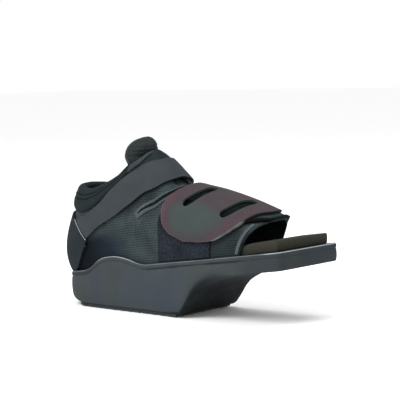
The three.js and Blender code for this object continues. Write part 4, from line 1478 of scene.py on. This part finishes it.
@dataclass
class Collar:
    """Padded roll over the collar with its sewn channels, and the band along its front."""

    drop: float = 23.0
    puff: float = 5.2
    over: float = 2.6
    lining: float = 2.8
    inside: float = 11.0
    end: float = 4.7
    drops: Spots = (
        (0, 1), (1, 0.96), (2, 0.91), (2.55, 0.79), (2.92, 0.66), (3.3, 0.54), (3.8, 0.41),
        (4.4, 0.34), (5, 0.34),
    )
    puffs: Spots = ((0, 1), (1, 0.962), (1.8, 0.731), (2.6, 0.577), (3.4, 0.462), (5, 0.346))
    channels: tuple[float, ...] = (3.1, 3.85)
    spokes: int = 18
    channel_deep: float = 0.9
    channel_half: float = 0.15
    channel_shade_half: float = 0.1
    ripple: float = 0.3
    ripple_rate: float = 8.0
    front_spokes: int = 6
    stations: int = 150
    around: int = 216
    band_rear: Spots = ((4.62, 0.985), (5.0, 0.985), (5.5, 0.985), (6.02, 1.0))
    band_front: Spots = ((4.7, 0.925), (5.06, 0.925), (5.56, 0.92), (6.16, 1.0))

    def _ring(self, s: Array) -> Array:
        """Eighteen points around the roll at each station, as its solid has them."""
        p, _, dv, n = LAST.frame(s, np.ones_like(s))
        up = unit(dv)
        long = np.linalg.norm(dv, axis=-1) * 0.98
        drop = self.drop * through(self.drops, np.abs(s))
        puff = self.puff * through(self.puffs, np.abs(s))
        gap, inside, lining = SIZES.gap, self.inside, self.lining
        base = SIZES.wall + 1.5 * gap

        def at(d: Array | float, off: Array | float) -> Array:
            d, off = np.broadcast_to(d, s.shape), np.broadcast_to(off, s.shape)
            on = LAST.skin(s, 1 - np.maximum(d, 0) / long, off)
            above = p + n * off[:, None] - up * d[:, None]
            return np.where((d >= 0)[:, None], on, above)

        face = ((1, 0), (1, 0.35), (0.82, 0.85), (0.5, 1), (0.2, 0.85))
        points = [at(a * drop, base + b * puff) for a, b in face]
        points += [
            at(-0.4, base + 0.55 * puff), at(-self.over, SIZES.wall / 2 + 0.25 * puff),
            at(-self.over, 0), at(-0.6, 0.6 - lining), at(0.36 * inside, -lining),
            at(0.82 * inside, 0.8 - lining), at(inside, -gap), at(0, -gap), at(-gap, -gap),
            at(-gap, base), at(0, base), at(0.35 * drop, base), at(0.7 * drop, base),
        ]
        return np.stack(points, axis=1)

    def _roll(self) -> Piece:
        """The roll itself."""
        count = self.spokes

        def place(u: Array, v: Array) -> Array:
            s = lerp(-self.end, self.end, u)
            unique, back = np.unique(s.round(9), return_inverse=True)
            rings = self._ring(unique)[back]
            q = v * count
            i = np.floor(q).astype(int) % count
            pick = np.arange(len(s))
            p = cubic(
                *(rings[pick, (i + k) % count] for k in (-1, 0, 1, 2)), (q - np.floor(q))[:, None]
            )
            rear = 1 - soft(np.abs(s), 2.2, 3.4)
            lower, upper = (bell(q, k, self.channel_half) for k in self.channels)
            rise = np.sin(math.pi * np.clip(q / self.front_spokes, 0, 1)) * (q < self.front_spokes)
            ripple = self.ripple * np.sin(s * self.ripple_rate) * rise
            deep = self.channel_deep * (upper * rear + lower) + ripple
            return p + unit(rings.mean(axis=1) - p) * deep[:, None]

        # Painted shade in the two sewn channels, strongest at the back.
        def painted_shade_and_dark_edge(u: Array, v: Array) -> Array:
            rear = 1 - soft(np.abs(lerp(-self.end, self.end, u)), 2.6, 3.8)
            lines = sum(bell(v * count, k, self.channel_shade_half) for k in self.channels)
            return np.clip(0.95 * lines * lerp(0.5, 1.0, rear), 0, 1)

        piece = bent_grid("collar_roll", self.stations, self.around, place, {"painted_shade_and_dark_edge": painted_shade_and_dark_edge})
        welded(piece, 0.02, turned=False)
        close_ends(piece)
        welded(piece, 0.02)
        return piece

    def _band(self) -> Piece:
        """The bound edge that runs from the roll over the front of the collar."""
        both = Ribbon(with_mirror(self.band_rear), with_mirror(self.band_front))

        def off(t: Array, c: Array, s: Array, v: Array) -> Array:
            return SIZES.wall + 0.15 + 0.5 * np.sin(math.pi * c)

        return both.sheet("collar_band", 90, 6, off, 1.0, 0.3)

    def _front(self) -> Piece:
        """The cloth that closes the collar's front down to under the ankle strap."""

        def place(u: Array, v: Array) -> Array:
            s, w = lerp(5.95, 6.95, v), lerp(0.8, 1.2, u)
            return LAST.skin(s, w, SIZES.wall + 0.2 + 0.9 * np.sin(math.pi * u) ** 0.5)

        piece = bent_grid("collar_front", 40, 16, place)
        thickened(piece, 1.0)
        return piece

    def build(self) -> None:
        """Makes and dresses the collar."""
        roll = finish_piece(self._roll(), COLLAR_CLOTH, ["collar_pad"])
        finish_piece(self._band(), COLLAR_TAPE)
        finish_piece(self._front(), COLLAR_CLOTH)


def close_ends(piece: Piece) -> None:
    """Fills the open loops of a tube."""
    select_only(piece)
    bpy.ops.object.mode_set(mode="EDIT")
    bpy.ops.mesh.select_mode(type="EDGE")
    bpy.ops.mesh.select_all(action="DESELECT")
    bpy.ops.mesh.select_non_manifold(
        extend=False, use_wire=False, use_boundary=True, use_multi_face=False,
        use_non_contiguous=False, use_verts=False,
    )
    bpy.ops.mesh.fill(use_beauty=True)
    bpy.ops.object.mode_set(mode="OBJECT")


@dataclass
class Tongue:
    """Padded tongue with a bound edge around its shield."""

    half: float = 22.0
    top: float = 169.6
    middle: tuple[float, ...] = (96.0, 0.0, 145.0)
    cord: float = 1.5
    quilt: tuple[float, ...] = (150.5, 155.0, 159.5)
    quilt_deep: float = 0.7
    shield: tuple[tuple[float, ...], ...] = (
        (0.365, 0.89, 0.302, 1, 0.843), (0.36, 0.932, 0.288, 0.977, 0.89),
        (0.352, 0.967, 0.29, 0.841, 0.94), (0.34, 0.991, 0.302, 0.591, 0.976),
        (0.329, 1, 0.317, 0.227, 0.995),
    )

    def _edge(self) -> Array:
        """Points around the shield's edge from the outer side over the top to the inner side."""
        left = [
            (ex * SIZES.length, -w * self.half, ez * self.top) for _, _, ex, w, ez in self.shield
        ]
        mx, mz = self.shield[-1][0] * SIZES.length, self.shield[-1][1] * self.top
        path = left + [(mx, 0.0, mz)] + [(x, -y, z) for x, y, z in reversed(left)]
        return along(path, np.linspace(0, len(path) - 1, 121))

    def _pad(self, source: Piece) -> Piece:
        """The pad: the solid's form made smooth and quilted."""
        piece = copied(source, "tongue_pad")
        for key in list(piece.keys()):
            if key.startswith("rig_"):
                del piece[key]
        piece.parent = None
        piece.hide_render = piece.hide_viewport = False
        welded(piece, 0.05)
        edited(
            piece,
            lambda: bpy.ops.mesh.tris_convert_to_quads(face_threshold=1.2, shape_threshold=1.2),
            lambda: bpy.ops.mesh.vertices_smooth(factor=0.25, repeat=1),
        )
        modified(piece, "SUBSURF", levels=3, render_levels=3)
        points, normals = points_of(piece), vectors(piece.data.vertices, "normal")
        x, y, up = points.T
        lines = sum(bell(up, level, 0.9) for level in self.quilt)
        deep = self.quilt_deep * lines * soft(normals[:, 0], 0.1, 0.5)
        set_points(piece, points - normals * deep[:, None])
        lay_cloth(piece, np.stack([np.arctan2(y, 40.0) * 44.0, up - 0.4 * x], axis=1))
        return piece

    def build(self, nodes: dict[str, Piece]) -> None:
        """Makes and dresses the tongue."""
        pad = self._pad(nodes["tongue"])
        finish_piece(pad, TONGUE_CLOTH, ["tongue"], 60.0)
        edge = self._edge()
        inward = unit(np.array(self.middle) - edge)
        rim = tube_path("tongue_binding", edge + inward * self.cord, self.cord, 12)
        finish_piece(rim, COLLAR_TAPE)


# Straps and overlays

ANKLE_TOP = (
    (1.48, 0.66), (1.85, 0.693), (2.29, 0.737), (2.75, 0.787), (3.16, 0.829), (3.5, 0.872),
    (3.82, 0.903), (4.2, 0.914), (4.6, 0.903), (4.96, 0.886), (5.3, 0.855), (5.65, 0.822),
    (5.96, 0.806), (6.24, 0.835), (6.49, 0.895), (6.62, 0.955), (6.66, 1.0),
)
ANKLE_LOW = (
    (2.31, 0.433), (2.52, 0.475), (2.81, 0.523), (3.2, 0.56), (3.65, 0.579), (4.1, 0.587),
    (4.5, 0.588), (4.9, 0.58), (5.25, 0.565), (5.63, 0.545), (6.0, 0.538), (6.35, 0.558),
    (6.7, 0.605), (7.07, 0.67), (7.44, 0.76), (7.74, 0.85), (7.92, 0.93), (7.99, 1.0),
)
HEEL_TOP = (
    (2.3, 0.41), (2.05, 0.488), (1.76, 0.572), (1.45, 0.638), (1.0, 0.675), (0.5, 0.69),
    (0.0, 0.695),
)
HEEL_LOW = (
    (2.2, 0.36), (2.05, 0.27), (1.84, 0.16), (1.6, 0.06), (1.25, 0.03), (0.7, 0.025), (0.0, 0.025),
)
HEEL_SEAM = ((2.305, 0.4215), (2.065, 0.4975), (1.77, 0.5785), (1.465, 0.644))
HEEL_STITCH = Stitch(2.5, 2.4, 1.0)
TOE_REAR = (
    (9.5, 0.2), (9.05, 0.238), (8.5, 0.278), (7.95, 0.35), (7.79, 0.45), (7.98, 0.58),
    (8.46, 0.71), (8.88, 0.88), (9.1, 1.08), (9.05, 1.3), (9.0, 1.5), (8.95, 1.7), (8.9, 1.92),
)
TOE_FRONT = (
    (9.65, 0.198), (10.1, 0.195), (10.6, 0.205), (11.0, 0.235), (11.34, 0.34), (11.53, 0.47),
    (11.6, 0.6), (11.64, 0.79), (11.7, 1.03), (11.56, 1.28), (11.28, 1.5), (11.16, 1.7),
    (11.1, 1.92),
)
FLAP_REAR = ((9.0, 0.7), (9.0, 0.85), (9.0, 1.0), (9.0, 1.2), (9.0, 1.4), (9.1, 1.65))
FLAP_FRONT = (
    (11.46, 0.5), (11.66, 0.625), (11.83, 0.76), (11.97, 0.93), (11.84, 1.25), (11.5, 1.6),
)
LOOP_REAR = ((7.2, 0.035), (7.2, 0.2), (7.2, 0.34), (7.5, 0.44), (8.2, 0.52))
LOOP_FRONT = ((10.7, 0.035), (10.68, 0.2), (10.62, 0.34), (10.5, 0.45), (10.4, 0.54))
REAR_SLOT = ((9.2, 0.575), (9.49, 0.68), (9.74, 0.83), (9.9, 0.98))
FRONT_SLOT = ((10.84, 0.53), (11.01, 0.64), (11.1, 0.81), (11.15, 1.06))


def with_mirror(edge: Spots) -> Spots:
    """An edge that runs on over the top and down the inner side."""
    return (*edge, *((s, 2 - v) for s, v in reversed(edge[:-1])))


def around_heel(edge: Spots) -> Spots:
    """An edge that runs on around the back of the heel to the inner side."""
    return (*edge, *((-s, v) for s, v in reversed(edge[:-1])))


@dataclass
class Straps:
    """Ankle strap, heel strap, toe strap and the flap and loop patch under it."""

    ankle_creases: tuple[Crease, ...] = (
        Crease((2.0, 0.62), (3.3, 0.78), 0.45, 4.0),
        Crease((5.5, 0.72), (6.9, 0.86), 0.45, 4.0),
        Crease((6.2, 0.7), (7.4, 0.88), -0.4, 4.0),
    )
    toe_creases: tuple[Crease, ...] = (
        Crease((8.5, 0.5), (10.8, 0.42), -0.5, 9.0),
        Crease((9.2, 0.95), (11.4, 0.86), -0.35, 6.0),
        Crease((10.3, 0.5), (10.5, 0.95), 0.3, 4.0),
    )
    slot_half: float = 5.6
    tuft: float = 0.55

    def _ankle(self) -> Piece:
        """The diagonal strap over the instep."""
        z = SIZES
        ribbon = Ribbon(with_mirror(ANKLE_TOP), with_mirror(ANKLE_LOW))

        def off(t: Array, c: Array, s: Array, v: Array) -> Array:
            lift = 0.8 * np.sin(math.pi * np.clip((t - 0.22) / 0.56, 0, 1)) ** 2
            return z.wall + 2 * z.gap + lift + 0.25 * np.sin(math.pi * c)

        # Dark along both edges, most along the lower one: the strap's dark cut edge together with
        # painted shadow beside it.
        def painted_shade_and_dark_edge(t: Array, c: Array, s: Array, v: Array) -> Array:
            return 0.8 * soft(c, 0.975, 0.995) + 0.4 * (1 - soft(c, 0.005, 0.02))

        return ribbon.sheet(
            "ankle_band", 220, 60, off, z.strap, 0.75, self.ankle_creases, {"painted_shade_and_dark_edge": painted_shade_and_dark_edge}, even=24
        )

    def _heel(self) -> Piece:
        """The lower panel around the heel that the ankle strap is sewn to."""
        z = SIZES

        def off(t: Array, c: Array, s: Array, v: Array) -> Array:
            return z.wall + 2 * z.gap + 0.3 * np.sin(math.pi * c)

        ribbon = Ribbon(around_heel(HEEL_LOW), around_heel(HEEL_TOP))
        return ribbon.sheet("heel_panel", 140, 24, off, z.strap, 0.7)

    def _toe_marks(self) -> dict[str, Rule]:
        """Where the broad strap is tinted and speckled, where a highlight, partly edge wear, is
        painted along its lower edges, and where shade is painted along its front edge.
        """

        def near_edge(t: Array, c: Array) -> Array:
            return np.minimum(np.minimum(c, 1 - c), np.minimum(t, 1 - t) * 2.4)

        def tint(t: Array, c: Array, s: Array, v: Array) -> Array:
            centre = ((s - 9.75) / 1.3) ** 2 + ((v - 0.44) / 0.2) ** 2
            return soft(np.sqrt(centre), 0.45, 1.4)

        def specks(t: Array, c: Array, s: Array, v: Array) -> Array:
            rim = (1 - soft(near_edge(t, c), 0.05, 0.16)) * (1 - soft(v, 0.6, 0.9))
            return rim * lerp(0.9, 0.35, soft(s, 9.7, 10.4)) + 0.1 * soft(v, 0.55, 0.75)

        # Painted highlight along the lower edges, partly edge wear.
        def highlight_and_wear(t: Array, c: Array, s: Array, v: Array) -> Array:
            return 0.32 * (1 - soft(near_edge(t, c), 0.006, 0.022)) * (1 - soft(v, 0.5, 0.62))

        # Painted shade along the upper part of the front edge.
        def painted_shade_and_dark_edge(t: Array, c: Array, s: Array, v: Array) -> Array:
            return 0.8 * soft(c, 0.985, 1.0) * soft(v, 0.4, 0.6)

        return {"margin": tint, "speck": specks, "highlight_and_wear": highlight_and_wear, "painted_shade_and_dark_edge": painted_shade_and_dark_edge}

    def _toe(self) -> Piece:
        """The broad rounded strap with its two slots."""
        z = SIZES

        def off(t: Array, c: Array, s: Array, v: Array) -> Array:
            return lerp(z.over, z.wall + z.gap, ramp(v, 1.72, 1.86))

        piece = Ribbon(TOE_REAR, TOE_FRONT).sheet(
            "toe_band", 200, 56, off, z.strap, 0.0, self.toe_creases, self._toe_marks()
        )

        def half(t: Array) -> Array:
            return self.slot_half * np.sqrt(np.maximum(0.04, 1 - (2 * t - 1) ** 6))

        for slot in (REAR_SLOT, FRONT_SLOT):
            cut_by(piece, strip_cutter(slot, half, z.over - 3, z.over + 6))
        rounded(piece, 0.6, 3)
        return piece

    def _flap(self) -> None:
        """The inner flap and the dark tape along its front."""
        z = SIZES

        # Painted shade over all of the flap but its front strip, where it lies under the toe strap
        # and shows through the slots.
        def painted_shade_and_dark_edge(t: Array, c: Array, s: Array, v: Array) -> Array:
            return 0.95 * (1 - soft(s, 11.25, 11.45))

        flap = Ribbon(FLAP_REAR, FLAP_FRONT).sheet(
            "inner_flap", 100, 60, z.wall + 1.7 * z.gap, z.flap, 0.5, marks={"painted_shade_and_dark_edge": painted_shade_and_dark_edge}
        )
        finish_piece(flap, FLAP_CLOTH, ["medial_flap"])
        # The dark tape also stands in for the shadow gap under the flap's edge: painted shadow.
        edge = [(s - 0.055, v) for s, v in FLAP_FRONT]
        off = z.wall + 1.4 * z.gap
        bound = tape("flap_edge", edge, (100, 5), off, 1.9, 0.2, z.flap + 1.0, 0.4)
        finish_piece(bound, DARK_BINDING_AND_SHADOW)

    def _patch(self) -> Piece:
        """The loop patch, roughened into short tufts."""
        z = SIZES
        ribbon = Ribbon(LOOP_REAR, LOOP_FRONT)
        patch = ribbon.sheet("loop_patch", 120, 100, z.wall + z.gap, z.loop, 0.3)
        points = points_of(patch)
        rng = np.random.default_rng(7)
        lift = rng.uniform(0.0, self.tuft, len(points))
        set_points(patch, points + vectors(patch.data.vertices, "normal") * lift[:, None])
        return patch

    def build(self) -> None:
        """Makes and dresses the straps."""
        z = SIZES
        finish_piece(self._ankle(), ANKLE_CLOTH, ["ankle_strap"])
        finish_piece(self._heel(), SHADED_HEEL_CLOTH, ["heel_strap"])
        finish_piece(self._toe(), STRAP_CLOTH, ["vamp_strap"], 35.0)
        self._flap()
        finish_piece(self._patch(), LOOP_CLOTH, ["loop_panel"], 80.0)
        off = z.wall + 2 * z.gap + z.strap + 0.1
        for side in ("outer", "inner"):
            run = seam(
                f"heel_seam_{side}", HEEL_SEAM, np.zeros_like, off, HEEL_STITCH,
                inner=side == "inner", count=60,
            )
            finish_piece(run, THREAD)


# Surroundings


@dataclass
class Studio:
    """Floor, lights and camera."""

    target: tuple[float, ...] = (57.0, 0.0, 75.0)
    distance: float = 1500.0
    azimuth: float = 40.536
    elevation: float = 6.128
    roll: float = -1.383
    focal_px: float = 1538.58
    picture_px: float = 400.0
    aim_px: tuple[float, float] = (188.03, 233.91)
    sensor: float = 36.0
    floor_size: float = 24.0
    floor_drop: float = 0.0004
    lights: tuple[tuple, ...] = (
        ("key", (-0.1, -1.3, 1.5), (0.05, 0, 0.06), 0.9, 26.0),
        ("top", (0.5, 0.3, 1.7), (0.05, 0, 0.08), 0.8, 10.0),
    )

    def _camera(self) -> None:
        """The camera at the photograph's angle, aimed so that the shoe sits where it does there."""
        a, e, r = (math.radians(v) for v in (self.azimuth, self.elevation, self.roll))
        back = Vector((math.sin(a) * math.cos(e), -math.cos(a) * math.cos(e), math.sin(e)))
        right = Vector((math.cos(a), math.sin(a), 0.0))
        up = back.cross(right)
        across = math.cos(r) * right + math.sin(r) * up
        lift = -math.sin(r) * right + math.cos(r) * up
        half = self.picture_px / 2
        aside = across * (half - self.aim_px[0]) - lift * (half - self.aim_px[1])
        look = (-back * self.focal_px + aside).normalized()
        side = look.cross(lift).normalized()
        data = bpy.data.cameras.new("camera")
        data.sensor_width = self.sensor
        data.lens = self.focal_px / self.picture_px * self.sensor
        camera = placed("camera", data)
        turn = Matrix((side, side.cross(look), -look)).transposed().to_4x4()
        place = Vector(self.target) * MM + back * self.distance * MM
        camera.matrix_world = Matrix.Translation(place) @ turn
        bpy.context.scene.camera = camera

    def _area(
        self, name: str, place: Sequence[float], aim: Sequence[float], size: float, power: float
    ) -> None:
        """A soft square light."""
        data = bpy.data.lights.new(name, "AREA")
        data.shape, data.size, data.energy = "SQUARE", size, power
        light = placed(name, data)
        light.location = place
        light.rotation_mode = "QUATERNION"
        light.rotation_quaternion = (Vector(aim) - Vector(place)).to_track_quat("-Z", "Y")

    def build(self) -> None:
        """Sets up the floor, the lights and the camera."""
        self._camera()
        bpy.ops.object.select_all(action="DESELECT")
        bpy.ops.mesh.primitive_plane_add(size=self.floor_size, location=(0, 0, -self.floor_drop))
        floor = bpy.context.object
        floor.name = "floor"
        floor.data.materials.append(material_of(FLOOR))
        scene = bpy.context.scene
        scene.view_settings.view_transform = "Standard"
        world = bpy.data.worlds.new("studio")
        world.use_nodes = True
        background = world.node_tree.nodes["Background"]
        background.inputs["Color"].default_value = (1.0, 1.0, 1.0, 1.0)
        background.inputs["Strength"].default_value = 1.0
        scene.world = world
        for light in self.lights:
            self._area(*light)


def main() -> None:
    """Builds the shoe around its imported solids."""
    logging.basicConfig(level=logging.INFO, format="%(message)s")
    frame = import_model()
    nodes = frame["nodes"]
    Studio().build()
    Sole().build(nodes)
    Upper().build()
    Collar().build()
    Tongue().build(nodes)
    Straps().build()


if __name__ == "__main__":
    main()
